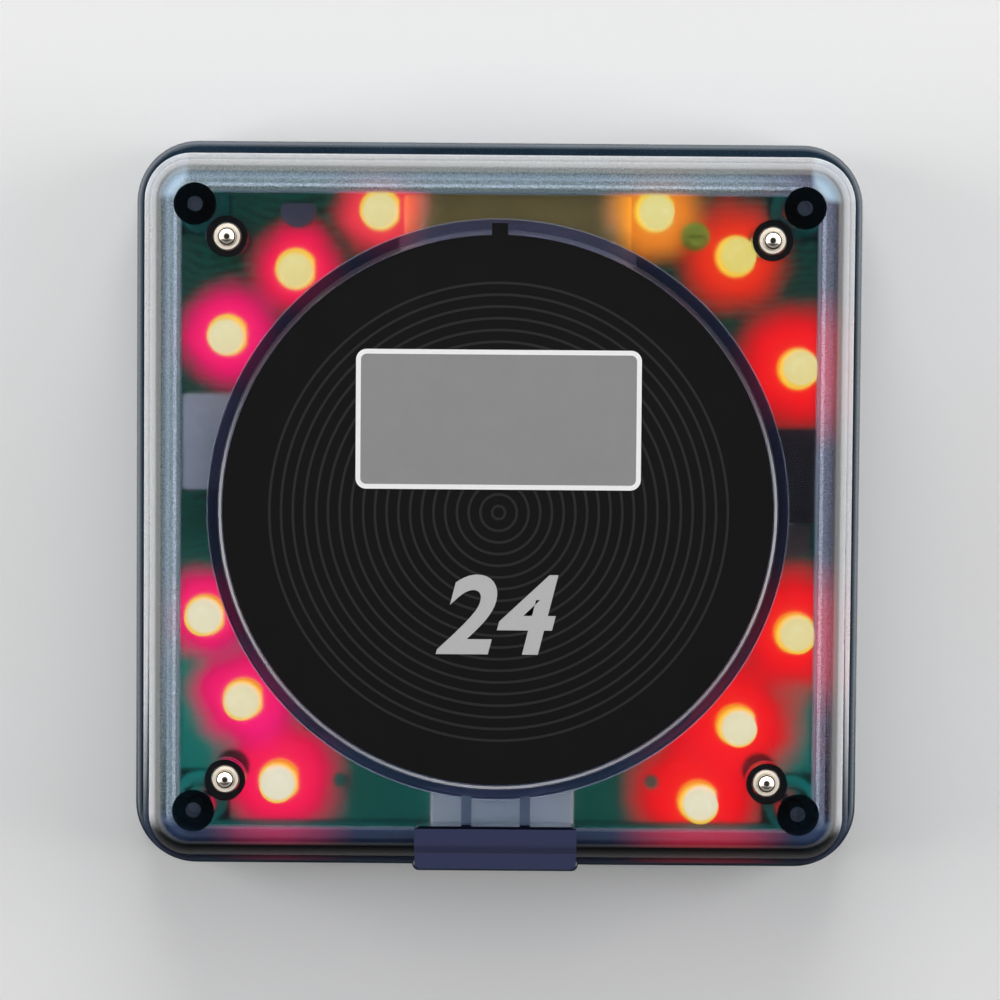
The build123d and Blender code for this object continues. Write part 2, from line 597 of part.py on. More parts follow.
def battery_cell(index):
    """Round cell along Y with a rounded can edge and a raised nub; neighbours face opposite ways."""
    low, high = cell_span()
    can_length = CELL_LENGTH - CELL_NUB_HEIGHT
    can = extrude(Circle(CELL_RADIUS), can_length)
    can = fillet(can.edges().filter_by(GeomType.CIRCLE), 0.5)
    cell = can + extrude(Circle(CELL_NUB_RADIUS), can_length + CELL_NUB_HEIGHT)
    if index % 2:
        return Pos(cell_x(index), high, PACK_AXIS_Z) * Rot(90, 0, 0) * cell
    return Pos(cell_x(index), low, PACK_AXIS_Z) * Rot(-90, 0, 0) * cell


def battery_wrap():
    """Shrink wrap round the three cells, with its ends turned in as lips."""
    y_low = PACK_FRONT_Y
    length = PACK_END_Y - PACK_FRONT_Y
    outer_r = CELL_RADIUS + PACK_SKIN
    inner_r = CELL_RADIUS + WRAP_CLEARANCE
    outer = RectangleRounded(PACK_WIDTH + 2 * PACK_SKIN, 2 * outer_r, outer_r - 0.01)
    inner = RectangleRounded(PACK_WIDTH + 2 * WRAP_CLEARANCE, 2 * inner_r, inner_r - 0.01)
    mouth_r = CELL_RADIUS - WRAP_LIP
    mouth = RectangleRounded(PACK_WIDTH - 2 * WRAP_LIP, 2 * mouth_r, mouth_r - 0.01)
    wrap = extrude(outer, length)
    wrap = fillet(wrap.edges().group_by(Axis.Z)[0] + wrap.edges().group_by(Axis.Z)[-1], 0.2)
    wrap -= Pos(0, 0, WRAP_THICKNESS) * extrude(inner, length - 2 * WRAP_THICKNESS)
    wrap -= Pos(0, 0, -1) * extrude(mouth, length + 2)
    return Pos(PACK_CENTRE_X, y_low + length, PACK_AXIS_Z) * Rot(90, 0, 0) * wrap


def battery_pad():
    """Foam pad that carries the pack on the board."""
    half = PACK_WIDTH / 2 - CELL_RADIUS / 2
    middle = PACK_CENTRE_X
    low = PACK_FRONT_Y + 3
    return block(middle - half, middle + half, low, PACK_END_Y - 3, BOARD_TOP, BOARD_TOP + PACK_PAD)


def battery_tabs():
    """Nickel strips: one across each end of the pack, and a short one at each end of the chain."""
    low, high = cell_span()
    half = TAB_WIDTH / 2
    pair = [(cell_x(0), cell_x(1), low - TAB_THICKNESS, low)]
    pair.append((cell_x(1), cell_x(2), high, high + TAB_THICKNESS))
    pair.append((cell_x(0) - half / 2, cell_x(0) + half / 2, high, high + TAB_THICKNESS))
    pair.append((cell_x(2) - half / 2, cell_x(2) + half / 2, low - TAB_THICKNESS, low))
    z0 = PACK_AXIS_Z - half
    z1 = PACK_AXIS_Z + half
    return Compound([block(x0 - 1, x1 + 1, y0, y1, z0, z1) for x0, x1, y0, y1 in pair])


# ---- connector and leads ----
def board_header():
    """Open-topped natural nylon header at the board's front edge."""
    x = HEADER_CENTRE_X
    half_w = HEADER_WIDTH / 2
    half_d = HEADER_DEPTH / 2
    top = BOARD_TOP + HEADER_HEIGHT
    header = block(x - half_w, x + half_w, HEADER_Y - half_d, HEADER_Y + half_d, BOARD_TOP, top)
    in_w = half_w - HEADER_WALL
    in_d = half_d - HEADER_WALL
    return header - block(x - in_w, x + in_w, HEADER_Y - in_d, HEADER_Y + in_d, PLUG_FOOT_Z, top + 1)


def lead_plug():
    """Plug housing in the header, with its wider head above it."""
    x = HEADER_CENTRE_X
    half_w = HEADER_WIDTH / 2 - HEADER_WALL - PLUG_CLEARANCE
    half_d = HEADER_DEPTH / 2 - HEADER_WALL - PLUG_CLEARANCE
    head_z = BOARD_TOP + HEADER_HEIGHT
    plug = block(x - half_w, x + half_w, HEADER_Y - half_d, HEADER_Y + half_d, PLUG_FOOT_Z, PLUG_TOP_Z)
    head_w = HEADER_WIDTH / 2
    head_d = HEADER_DEPTH / 2
    head = block(x - head_w, x + head_w, HEADER_Y - head_d, HEADER_Y + head_d, head_z, PLUG_TOP_Z)
    plug += fillet(top_edges(head), 0.4)
    lead_z = (head_z + PLUG_TOP_Z) / 2
    for index in range(4):
        plug -= lead_socket(HEADER_CENTRE_X + (index - 1.5) * LEAD_SPACING, lead_z)
    return plug


def lead_socket(x, z):
    """Blind hole in the plug's back for one lead."""
    hole = extrude(Circle(LEAD_RADIUS + 0.05), LEAD_BITE)
    return Pos(x, HEADER_Y + HEADER_DEPTH / 2, z) * Rot(90, 0, 0) * hole


def lead_tube(points, bends):
    path = FilletPolyline(*points, radius=bends)
    section = Plane(path @ 0, z_dir=path % 0) * Circle(LEAD_RADIUS)
    return sweep(section, path)


def plug_end(index):
    """Where lead number index meets the end of its hole in the plug."""
    lead_z = (BOARD_TOP + HEADER_HEIGHT + PLUG_TOP_Z) / 2
    x = HEADER_CENTRE_X + (index - 1.5) * LEAD_SPACING
    return x, HEADER_Y + HEADER_DEPTH / 2 - LEAD_BITE, lead_z


def battery_leads():
    """The pack's two leads, from its front tabs to the plug."""
    leads = []
    start_y = PACK_FRONT_Y - 0.1
    for index in (0, 1):
        x, y, z = plug_end(index)
        start_x = cell_x(0) - PACK_LEAD_SHIFT + PACK_LEAD_SPACING * index
        points = [(start_x, start_y, PACK_AXIS_Z), (start_x, start_y - PACK_LEAD_RUN, PACK_AXIS_Z)]
        points += [(x, y + PLUG_LEAD_RUN, z), (x, y, z)]
        leads.append(lead_tube(points, [LEAD_BEND_R, LEAD_BEND_R]))
    return Compound(leads)


def motor_leads():
    """The motor's two leads, from the boot's back end to the plug."""
    leads = []
    back_y = MOTOR_NOSE_Y + MOTOR_LENGTH + BOOT_WALL
    for index in (2, 3):
        x, y, z = plug_end(index)
        rise = (index - 2.5) * 2 * MOTOR_LEAD_RISE
        start_x = MOTOR_X - BOOT_HALF
        start_y = back_y - MOTOR_LEAD_SETBACK
        height = MOTOR_Z + rise
        turn_x = start_x - MOTOR_LEAD_RUN
        points = [(start_x, start_y, height), (turn_x, start_y, height)]
        points += [(turn_x - MOTOR_LEAD_DROP[0] - rise, start_y - MOTOR_LEAD_DROP[1], height)]
        points += [(x, y + PLUG_LEAD_RUN, z), (x, y, z)]
        leads.append(lead_tube(points, [MOTOR_LEAD_BEND_R, LEAD_BEND_R, LEAD_BEND_R]))
    return Compound(leads)


# ---- vibration motor ----
def along_y(shape, y):
    """Puts a shape that was drawn up the Z axis on the motor's axis, pointing to +Y."""
    return Pos(MOTOR_X, y, MOTOR_Z) * Rot(-90, 0, 0) * shape


def vibration_motor():
    """Motor can with its nose bore; the inside stays solid."""
    can = extrude(Circle(MOTOR_RADIUS), MOTOR_LENGTH)
    can = fillet(can.edges().filter_by(GeomType.CIRCLE), 0.3)
    can -= extrude(Circle(SHAFT_RADIUS + SHAFT_FIT), SHAFT_BORE)
    return along_y(can, MOTOR_NOSE_Y)


def motor_boot():
    """Square rubber boot, closed at the back, with the can pushed in from the front."""
    length = MOTOR_LENGTH + BOOT_WALL
    outline = RectangleRounded(2 * BOOT_HALF, 2 * BOOT_HALF, BOOT_CORNER_R)
    boot = extrude(outline, length)
    boot -= extrude(Circle(MOTOR_RADIUS), MOTOR_LENGTH)
    return along_y(boot, MOTOR_NOSE_Y)


def motor_shaft():
    shaft = extrude(Circle(SHAFT_RADIUS), SHAFT_LENGTH)
    return along_y(shaft, MOTOR_NOSE_Y + SHAFT_BORE - 0.1 - SHAFT_LENGTH)


def motor_weight():
    """Half-round eccentric weight on the shaft's end, heavy side down at rest."""
    weight = extrude(Circle(WEIGHT_RADIUS), WEIGHT_LENGTH)
    cut = Pos(0, -WEIGHT_RADIUS - SHAFT_RADIUS - 0.3, WEIGHT_LENGTH / 2)
    weight -= cut * Box(4 * WEIGHT_RADIUS, 2 * WEIGHT_RADIUS, 2 * WEIGHT_LENGTH)
    weight -= extrude(Circle(SHAFT_RADIUS), WEIGHT_LENGTH)
    return along_y(weight, MOTOR_NOSE_Y - WEIGHT_GAP - WEIGHT_LENGTH)


# ---- other parts on the board ----
def shield_can():
    """Receiver's folded tin screen, open underneath."""
    length, width, height = CAN_SIZE
    x0 = -BOARD_HALF + CAN_EDGE_GAP
    centre = Pos(x0 + length / 2, CAN_CENTRE_Y, BOARD_TOP + height / 2)
    can = fillet(Box(length, width, height).edges().filter_by(Axis.Z), 0.5)
    room = Pos(0, 0, -CAN_SKIN) * Box(length - 2 * CAN_SKIN, width - 2 * CAN_SKIN, height)
    return centre * (can - room)


def microcontroller():
    z0 = BOARD_TOP + CHIP_STANDOFF
    half = CHIP_SIZE / 2
    x, y = CHIP_CENTRE
    chip = block(x - half, x + half, y - half, y + half, z0, z0 + CHIP_HEIGHT)
    chip = chamfer(top_edges(chip), 0.2)
    return chip - disc(0.5, z0 + CHIP_HEIGHT - 0.1, z0 + CHIP_HEIGHT + 1, (x - half + 1.3, y + half - 1.3))


def microcontroller_pins():
    """Gull-wing pins on the chip's four sides."""
    half = CHIP_SIZE / 2
    mid = CHIP_STANDOFF + CHIP_HEIGHT / 2
    reach = CHIP_PIN_REACH
    foot = CHIP_PIN_THICKNESS / 2
    line = Polyline((0, mid), (0.35 * reach, mid), (0.55 * reach, foot), (reach, foot))
    wing = Plane.XZ * trace(line, CHIP_PIN_THICKNESS)
    pin = extrude(wing, CHIP_PIN_WIDTH / 2, both=True)
    pins = []
    for side in range(4):
        for index in range(CHIP_PINS_PER_SIDE):
            along = (index - (CHIP_PINS_PER_SIDE - 1) / 2) * CHIP_PIN_PITCH
            place = Pos(CHIP_CENTRE[0], CHIP_CENTRE[1], BOARD_TOP) * Rot(0, 0, 90 * side)
            pins.append(place * Pos(half + CHIP_PIN_THICKNESS / 2, along, 0) * pin)
    return Compound(pins)


def quartz_crystal():
    """Crystal in a low oval can with its flange."""
    length, width, height = CRYSTAL_SIZE
    can = extrude(SlotOverall(length, width), height)
    can = fillet(top_edges(can), 0.6)
    can += extrude(SlotOverall(length + 0.8, width + 0.8), 0.4)
    return Pos(CRYSTAL_CENTRE[0], CRYSTAL_CENTRE[1], BOARD_TOP) * can


def buzzer():
    """Round sounder with its sound hole."""
    top = BOARD_TOP + BUZZER_HEIGHT
    at = beside(BUZZER_SPOT)
    body = fillet(top_edges(disc(BUZZER_RADIUS, BOARD_TOP, top, at)), 0.5)
    return body - disc(BUZZER_HOLE_RADIUS, top - 2, top + 1, at)


def capacitors():
    """Two upright can capacitors."""
    cans = []
    for spot in CAPACITOR_SPOTS:
        can = disc(CAPACITOR_RADIUS, BOARD_TOP, BOARD_TOP + CAPACITOR_HEIGHT, beside(spot))
        cans.append(fillet(top_edges(can), 0.4))
    return Compound(cans)


def driver_transistor():
    """Small D-shaped transistor standing on three legs."""
    foot = BOARD_TOP + TRANSISTOR_STANDOFF
    body = disc(TRANSISTOR_RADIUS, foot, foot + TRANSISTOR_HEIGHT)
    body -= block(-5, 5, TRANSISTOR_FLAT, 5, 0, TOTAL_HEIGHT)
    for index in (-1, 0, 1):
        x = index * 1.27
        body += block(x - 0.22, x + 0.22, -0.22, 0.22, BOARD_TOP, foot + 1)
    x, y = beside(TRANSISTOR_SPOT)
    return Pos(x, y, 0) * body


def trimmer_capacitor():
    """Round tuning trimmer with its slotted rotor."""
    top = BOARD_TOP + TRIMMER_HEIGHT
    body = disc(TRIMMER_RADIUS, BOARD_TOP, top - 0.8)
    body += disc(TRIMMER_RADIUS * 0.7, top - 0.8, top)
    body -= Pos(0, 0, top) * Box(TRIMMER_RADIUS * 2, 0.5, 0.8)
    x, y = beside(TRIMMER_SPOT)
    return Pos(x, y, 0) * body


def antenna_loop():
    """Wire loop antenna, a tall staple that stands on the board."""
    half = ANTENNA_SPAN / 2
    top = BOARD_TOP + ANTENNA_HEIGHT
    points = [(-half, 0, BOARD_TOP), (-half, 0, top), (half, 0, top), (half, 0, BOARD_TOP)]
    path = FilletPolyline(*points, radius=ANTENNA_BEND_R)
    section = Plane(path @ 0, z_dir=path % 0) * Circle(ANTENNA_RADIUS)
    x, y = beside(ANTENNA_SPOT)
    return Pos(x, y, 0) * sweep(section, path)


def main():
    os.makedirs("parts", exist_ok=True)
    put("base_shell", base_shell())
    put("top_cover", top_cover())
    put("rim_seal", rim_seal())
    put("face_label", face_label())
    put("number_patch", number_patch())
    put("case_screws", case_screws())
    for number, at in enumerate(corner_points(CONTACT_AT), start=1):
        put(f"contact_sleeve_{number}", contact_sleeve(at))
        put(f"contact_plunger_{number}", contact_plunger(at))
        put(f"contact_spring_{number}", contact_spring(at))
    put("contact_seals", contact_seals())
    put("stack_contacts", stack_contacts())
    put("circuit_board", circuit_board())
    for number, at in enumerate(led_points(), start=1):
        put(f"led_{number:02d}", led(at))
    put("led_leads", led_leads())
    put("chip_resistors", chip_resistors())
    for index in range(CELL_COUNT):
        put(f"battery_cell_{index + 1}", battery_cell(index))
    put("battery_wrap", battery_wrap())
    put("battery_pad", battery_pad())
    put("battery_tabs", battery_tabs())
    put("board_header", board_header())
    put("lead_plug", lead_plug())
    put("battery_leads", battery_leads())
    put("motor_leads", motor_leads())
    put("vibration_motor", vibration_motor())
    put("motor_boot", motor_boot())
    put("motor_shaft", motor_shaft())
    put("motor_weight", motor_weight())
    put("shield_can", shield_can())
    put("microcontroller", microcontroller())
    put("microcontroller_pins", microcontroller_pins())
    put("quartz_crystal", quartz_crystal())
    put("buzzer", buzzer())
    put("capacitors", capacitors())
    put("driver_transistor", driver_transistor())
    put("trimmer_capacitor", trimmer_capacitor())
    put("antenna_loop", antenna_loop())


main()
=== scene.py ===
"""Guest pager: finishes, printed face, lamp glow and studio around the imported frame."""

import math

import bmesh
import bpy
from bpy.props import FloatProperty, FloatVectorProperty, IntProperty, PointerProperty, StringProperty
from mathutils import Matrix, Vector


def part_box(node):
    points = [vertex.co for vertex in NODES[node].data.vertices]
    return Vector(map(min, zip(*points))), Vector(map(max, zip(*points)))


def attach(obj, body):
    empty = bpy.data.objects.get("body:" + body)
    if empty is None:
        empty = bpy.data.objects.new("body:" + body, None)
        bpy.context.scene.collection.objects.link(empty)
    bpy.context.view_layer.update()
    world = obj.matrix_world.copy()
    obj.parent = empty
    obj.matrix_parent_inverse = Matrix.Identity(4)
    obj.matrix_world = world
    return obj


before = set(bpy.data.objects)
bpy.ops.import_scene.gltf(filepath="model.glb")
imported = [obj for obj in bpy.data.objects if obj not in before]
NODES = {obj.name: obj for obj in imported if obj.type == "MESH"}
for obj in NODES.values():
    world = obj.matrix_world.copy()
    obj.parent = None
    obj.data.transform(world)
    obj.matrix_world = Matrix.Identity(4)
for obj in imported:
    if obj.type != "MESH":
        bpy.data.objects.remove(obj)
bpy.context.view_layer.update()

MM = 0.001

bl_info = {
    "name": "Guest pager looks",
    "version": (1, 0, 0),
    "blender": (4, 5, 0),
    "location": "View3D > Sidebar > Guest pager",
    "description": "Finishes, printed face, lamp glow and studio for the guest pager frame",
    "category": "Object",
}


# ---- sizes and colours


def tone(red, green, blue):
    """A colour given as it shows on a screen, 0 to 255, made scene-linear."""
    shares = (red / 255, green / 255, blue / 255)
    return tuple(c / 12.92 if c <= 0.04045 else ((c + 0.055) / 1.055) ** 2.4 for c in shares)


def rgba(colour):
    return (*colour[:3], 1.0)


def dimmed(colour, share):
    return [c * share for c in colour]


LABEL_LOW, LABEL_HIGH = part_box("face_label")
PATCH_LOW, PATCH_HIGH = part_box("number_patch")
COVER_LOW, COVER_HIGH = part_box("top_cover")
BOARD_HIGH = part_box("circuit_board")[1]
BASE_LOW, BASE_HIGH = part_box("base_shell")

LABEL_RADIUS = LABEL_HIGH.x
LABEL_CENTRE = Vector((0, LABEL_LOW.y + LABEL_RADIUS, 0))
SHIFT_Y = (COVER_LOW.y + COVER_HIGH.y) / 2      # how far the cover's middle is from the frame's
COVER_TOP = COVER_HIGH.z
COVER_SIDE = COVER_HIGH.x                       # from the cover's middle to its sides
COVER_CORNER = 6.7 * MM                         # its round corners, seen from above
SKIN_SIDE, SKIN_TOP = 1.15 * MM, 1.4 * MM       # its inside faces lie deeper than this
BAND_FROM_SIDE = 5.6 * MM, 4.9 * MM             # where its grained band begins, and where it is full
BAND_UNDER_TOP = 8.0 * MM, 4.5 * MM             # the same, down from the top
RING_WALL = 2.3 * MM                            # the wall round the label's recess
LIP_MIDDLE, LIP_HALF = 0.3 * MM, 0.5 * MM       # the recess's bevelled mouth, out from the label
ROOF_LIGHT = 17 * MM, 20.5 * MM                 # heights between which the lamps' light comes up in the roof
LEAD_PITCH = 2.54 * MM                          # between a lamp's two leads
READER = Vector((-0.6 * MM, 27.7 * MM + SHIFT_Y, 500 * MM))     # from where the face is read

# Each lamp's hue, where its hot spot leans in mm, how cream its middle is, and how far its light reaches.
LAMPS = {
    "led_01": ("coral", (0.1, -0.35), 0.15, 0.85),
    "led_02": ("crimson", (0.15, -0.35), 0.0, 0.85),
    "led_03": ("magenta", (0.1, -0.25), 0.45, 0.95),
    "led_04": ("amber", (0.1, -0.3), 0.0, 0.9),
    "led_05": ("scarlet", (0.1, 0.1), -0.3, 1.0),
    "led_06": ("red", (0.0, 0.25), 0.1, 1.15),
    "led_07": ("magenta", (0.25, 0.25), 0.8, 0.85),
    "led_08": ("magenta", (0.1, 0.2), 0.6, 1.0),
    "led_09": ("crimson", (0.0, 0.2), 1.0, 1.15),
    "led_10": ("red", (0.0, 0.3), 0.2, 1.2),
    "led_11": ("red", (0.1, 0.1), 0.75, 1.2),
    "led_12": ("red", (0.1, 0.3), 0.9, 1.25),
}

HALO = {
    "magenta": tone(250, 8, 100),
    "crimson": tone(250, 12, 74),
    "coral": tone(240, 50, 66),
    "amber": tone(236, 128, 30),
    "scarlet": tone(236, 40, 14),
    "red": tone(248, 8, 20),
}


def lamp_axis(node):
    """The middle of a lamp's lens, seen from above: its flange is flattened on one side only."""
    low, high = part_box(node)
    return Vector((low.x + (high.y - low.y) / 2, (low.y + high.y) / 2, high.z))


# ---- user settings


def length_setting(name, description, default):
    return FloatProperty(name=name, description=description, default=default, unit="LENGTH", subtype="DISTANCE")


def colour_setting(name, description, default):
    return FloatVectorProperty(
        name=name, description=description, default=default, subtype="COLOR", min=0.0, max=1.0
    )


def level_setting(name, description, default, low=0.0):
    return FloatProperty(name=name, description=description, default=default, min=low)


def share_setting(name, description, default):
    return FloatProperty(name=name, description=description, default=default, min=0.0, max=1.0)


class PagerHousingLook(bpy.types.PropertyGroup):
    smoke_density: level_setting("Smoke density", "How strongly the cover's plastic absorbs light, per metre", 230.0)
    smoke_colour: colour_setting("Smoke colour", "Colour that the cover's plastic lets through", (0.0, 0.14, 0.36))
    cover_polish: share_setting("Cover polish", "Roughness of the cover's outside", 0.09)
    cover_frost: share_setting("Cover frost", "Roughness of the cover's spark-textured inside", 0.17)
    grain_size: length_setting("Texture grain", "Size of the grain in the cover's inside", 0.28 * MM)
    lug_colour: colour_setting("Lug colour", "Colour of the cover's thick, solid key lug", tone(42, 47, 76))
    lug_width: length_setting("Lug width", "Width of the key lug", 22.3 * MM)
    lug_reach: length_setting("Lug reach", "How far the lug reaches in from the cover's side", 5.35 * MM)
    base_colour: colour_setting("Base colour", "Colour of the moulded base", tone(20, 38, 52))
    # Painted light: a bright teal painted on the base's inside round the board, where it lies in shade.
    painted_inside_colour: colour_setting("Inside colour", "Colour of the base's inside round the board", tone(26, 170, 150))
    base_grain: length_setting("Base grain", "Size of the grain in the base's satin skin", 0.35 * MM)
    seal_colour: colour_setting("Seal colour", "Colour of the rubber seals", tone(8, 8, 10))


class PagerFaceLook(bpy.types.PropertyGroup):
    label_colour: colour_setting("Label black", "Ground colour of the printed face", tone(13, 12, 13))
    ring_colour: colour_setting("Ring grey", "Ink of the fine rings", tone(44, 43, 43))
    ring_count: IntProperty(name="Rings", description="Number of printed rings", default=20, min=1)
    ring_first: length_setting("First ring", "Radius of the smallest ring", 0.89 * MM)
    ring_step: length_setting("Ring step", "Distance from ring to ring", 1.604 * MM)
    ring_width: length_setting("Ring width", "Width of one printed ring", 0.36 * MM)
    ink_height: length_setting("Ink height", "How far printed ink stands on the film", 0.02 * MM)
    patch_colour: colour_setting("Patch grey", "Write-on film", tone(143, 143, 143))
    border_width: length_setting("Patch border", "Width of the white line round the write-on film", 0.66 * MM)
    border_round: length_setting("Border corner", "Radius of the border's corners", 1.45 * MM)
    number: StringProperty(name="Pager number", description="The pager's own number, on its face", default="24")
    number_height: length_setting("Number height", "Height of the printed number", 10.6 * MM)
    number_drop: length_setting("Number drop", "From the label's middle down to the number's", 14.2 * MM)
    number_colour: colour_setting("Number grey", "Ink of the number", tone(190, 190, 190))


class PagerLampLook(bpy.types.PropertyGroup):
    lens_glow: level_setting("Lens glow", "Brightness of the lit lenses", 1.5)
    board_glow: level_setting("Board glow", "Brightness of the lamps' light on the board", 1.7)
    roof_glow: level_setting("Roof glow", "Brightness of the lamps' light in the cover's roof", 0.16)
    band_glow: level_setting("Band glow", "Brightness of the lamps' light in the cover's grained band", 0.6, 0.001)
    core_colour: colour_setting("Yellow core", "Middle of a lens that glows yellow", tone(238, 228, 140))
    cream_colour: colour_setting("Cream core", "Middle of a lens that glows cream", tone(240, 240, 200))
    rim_colour: colour_setting("Lens rim", "Rim of a lit lens", tone(255, 214, 64))
    skirt_colour: colour_setting("Lens skirt", "Foot of a lit lens", tone(255, 150, 24))
    core_radius: length_setting("Core radius", "Where the middle of a lens ends", 2.1 * MM)
    rim_radius: length_setting("Rim radius", "Where the rim of a lens begins", 2.75 * MM)
    waist: length_setting("Lens waist", "How far under its tip a lens glows evenly", 3.4 * MM)
    board_reach: length_setting("Board reach", "How far a lamp's light spreads over the board", 9.5 * MM)
    roof_reach: length_setting("Roof reach", "How far a lamp's light spreads in the roof", 7.0 * MM)


class PagerBoardLook(bpy.types.PropertyGroup):
    mask_colour: colour_setting("Solder mask", "Green of the board", tone(0, 68, 46))
    track_colour: colour_setting("Track green", "Solder mask over copper", tone(18, 156, 132))
    track_pitch: length_setting("Track pitch", "Distance from track to track", 1.1 * MM)
    track_gap: length_setting("Track gap", "Width of the bare line between two tracks", 0.22 * MM)
    joint_radius: length_setting("Solder joint", "Radius of a solder joint", 0.75 * MM)
    joint_height: length_setting("Joint height", "Height of a solder joint", 0.45 * MM)


class PagerStageLook(bpy.types.PropertyGroup):
    floor_colour: colour_setting("Floor", "Colour of the studio floor", tone(232, 232, 232))
    floor_half: length_setting("Floor half", "Half the side of the studio floor", 1.6)
    floor_paleness: level_setting("Floor paleness", "How much paler the floor shows to the camera", 0.06)
    floor_gleam: level_setting("Floor gleam", "How much brighter the floor shows in polished surfaces", 2.2, 0.001)
    wall_gleam: level_setting("Wall gleam", "How bright the room's pale walls show in polished surfaces", 3.6)
    room_level: level_setting("Room light", "Strength of the room's even light near the floor", 1.06)
    backdrop: level_setting("Backdrop", "How bright the room shows to the camera", 0.85)
    softbox_radiance: level_setting("Softboxes", "Brightness of each softbox's face", 7.5)
    lens: level_setting("Lens", "Camera focal length on a 36 mm sensor", 125.9, 1.0)


GROUPS = {
    "pager_housing": PagerHousingLook,
    "pager_face": PagerFaceLook,
    "pager_lamps": PagerLampLook,
    "pager_board": PagerBoardLook,
    "pager_stage": PagerStageLook,
}


# ---- building finishes


class Wiring:
    """A shader tree in the making. Each call adds a node and gives back the socket that the next one reads."""

    def __init__(self, tree):
        self.tree = tree

    def put(self, kind, *inputs, out=0, **settings):
        """Adds a node, sets it up, and fills its inputs in order with numbers or with other nodes' sockets."""
        node = self.tree.nodes.new("ShaderNode" + kind)
        for name, value in settings.items():
            setattr(node, name, value)
        for place, value in zip(node.inputs, inputs):
            if isinstance(value, bpy.types.NodeSocket):
                self.tree.links.new(value, place)
            elif value is not None:
                place.default_value = value
        return node.outputs[out]

    def calc(self, operation, *values):
        return self.put("Math", *values, operation=operation)

    def times(self, first, *others):
        for value in others:
            first = self.calc("MULTIPLY", first, value)
        return first

    def linear(self, value, slope, start):
        return self.calc("MULTIPLY_ADD", value, slope, start)

    def under(self, value, limit):
        return self.calc("LESS_THAN", value, limit)

    def over(self, value, limit):
        return self.calc("GREATER_THAN", value, limit)

    def rest(self, value):
        return self.calc("SUBTRACT", 1.0, value)

    def span(self, value, low, high, start=0.0, end=1.0, smooth=False):
        """Turns the span low to high of a value into start to end."""
        kind = "SMOOTHSTEP" if smooth else "LINEAR"
        return self.put("MapRange", value, low, high, start, end, interpolation_type=kind)

    def axes(self, vector):
        """The x, y and z of a vector."""
        return tuple(self.put("SeparateXYZ", vector).node.outputs)

    def flat(self, vector):
        """A vector with its height taken out."""
        return self.put("VectorMath", vector, (1, 1, 0), operation="MULTIPLY")

    def place(self, centre=None):
        """Where a surface point is on the pager, or from a given centre."""
        point = self.put("TexCoord", out=3)
        if centre is None:
            return point
        return self.put("Mapping", point, tuple(-c for c in centre))

    def noise(self, size, detail=3.0, rough=0.5, place=None, colour=False):
        """Grain whose spots are about this size in metres."""
        node = self.tree.nodes.new("ShaderNodeTexNoise")
        self.tree.links.new(place or self.place(), node.inputs["Vector"])
        node.inputs["Scale"].default_value = 1 / size
        node.inputs["Detail"].default_value = detail
        node.inputs["Roughness"].default_value = rough
        return node.outputs["Color" if colour else "Fac"]

    def light(self, group):
        """What a node group that lamp_glow made gives at a surface point."""
        node = self.tree.nodes.new("ShaderNodeGroup")
        node.node_tree = group
        return node.outputs[0]


class Finish(Wiring):
    """One node material in the making."""

    def __init__(self, name, **values):
        self.material = bpy.data.materials.new(name)
        self.material.use_nodes = True
        super().__init__(self.material.node_tree)
        self.shader = self.tree.nodes["Principled BSDF"]
        self.output = self.tree.nodes["Material Output"]
        for name, value in values.items():
            self.shader.inputs[name.replace("_", " ")].default_value = value

    def link(self, name, value):
        self.tree.links.new(value, self.shader.inputs[name])

    def glow(self, light, strength):
        self.link("Emission Color", light)
        self.shader.inputs["Emission Strength"].default_value = strength

    def blend(self, amount, first, second):
        """Mixes two colours by an amount."""
        node = self.tree.nodes.new("ShaderNodeMix")
        node.data_type = "RGBA"
        for place, value in ((node.inputs[0], amount), (node.inputs[6], first), (node.inputs[7], second)):
            if isinstance(value, bpy.types.NodeSocket):
                self.tree.links.new(value, place)
            else:
                place.default_value = rgba(value)
        return node.outputs[2]

    def relief(self, height, depth, strength):
        """Bumps the surface by a height map, this deep in metres."""
        node = self.tree.nodes.new("ShaderNodeBump")
        node.inputs["Strength"].default_value = strength
        node.inputs["Distance"].default_value = depth
        self.tree.links.new(height, node.inputs["Height"])
        self.link("Normal", node.outputs[0])

    def gloss(self, grain, low, high):
        """Lets the roughness swing with a grain, between two values."""
        self.link("Roughness", self.span(grain, 0.2, 0.8, low, high))

    def dress(self, *names):
        for name in names:
            slots = NODES[name].data.materials
            slots.clear()
            slots.append(self.material)


def speckled(title, tones, gloss, size, *names, detail=4.0, rough=0.6, depth=0.0, bump=0.4, **values):
    """Dresses nodes in a finish whose colour, gloss and skin swing with one grain."""
    finish = Finish(title, **values)
    spots = finish.noise(size, detail, rough)
    finish.link("Base Color", finish.blend(spots, *tones))
    finish.gloss(spots, *gloss)
    if depth:
        finish.relief(spots, depth, bump)
    finish.dress(*names)
    return finish


def family(start):
    """The names of the CAD nodes that begin with these letters."""
    return [name for name in sorted(NODES) if name.startswith(start)]


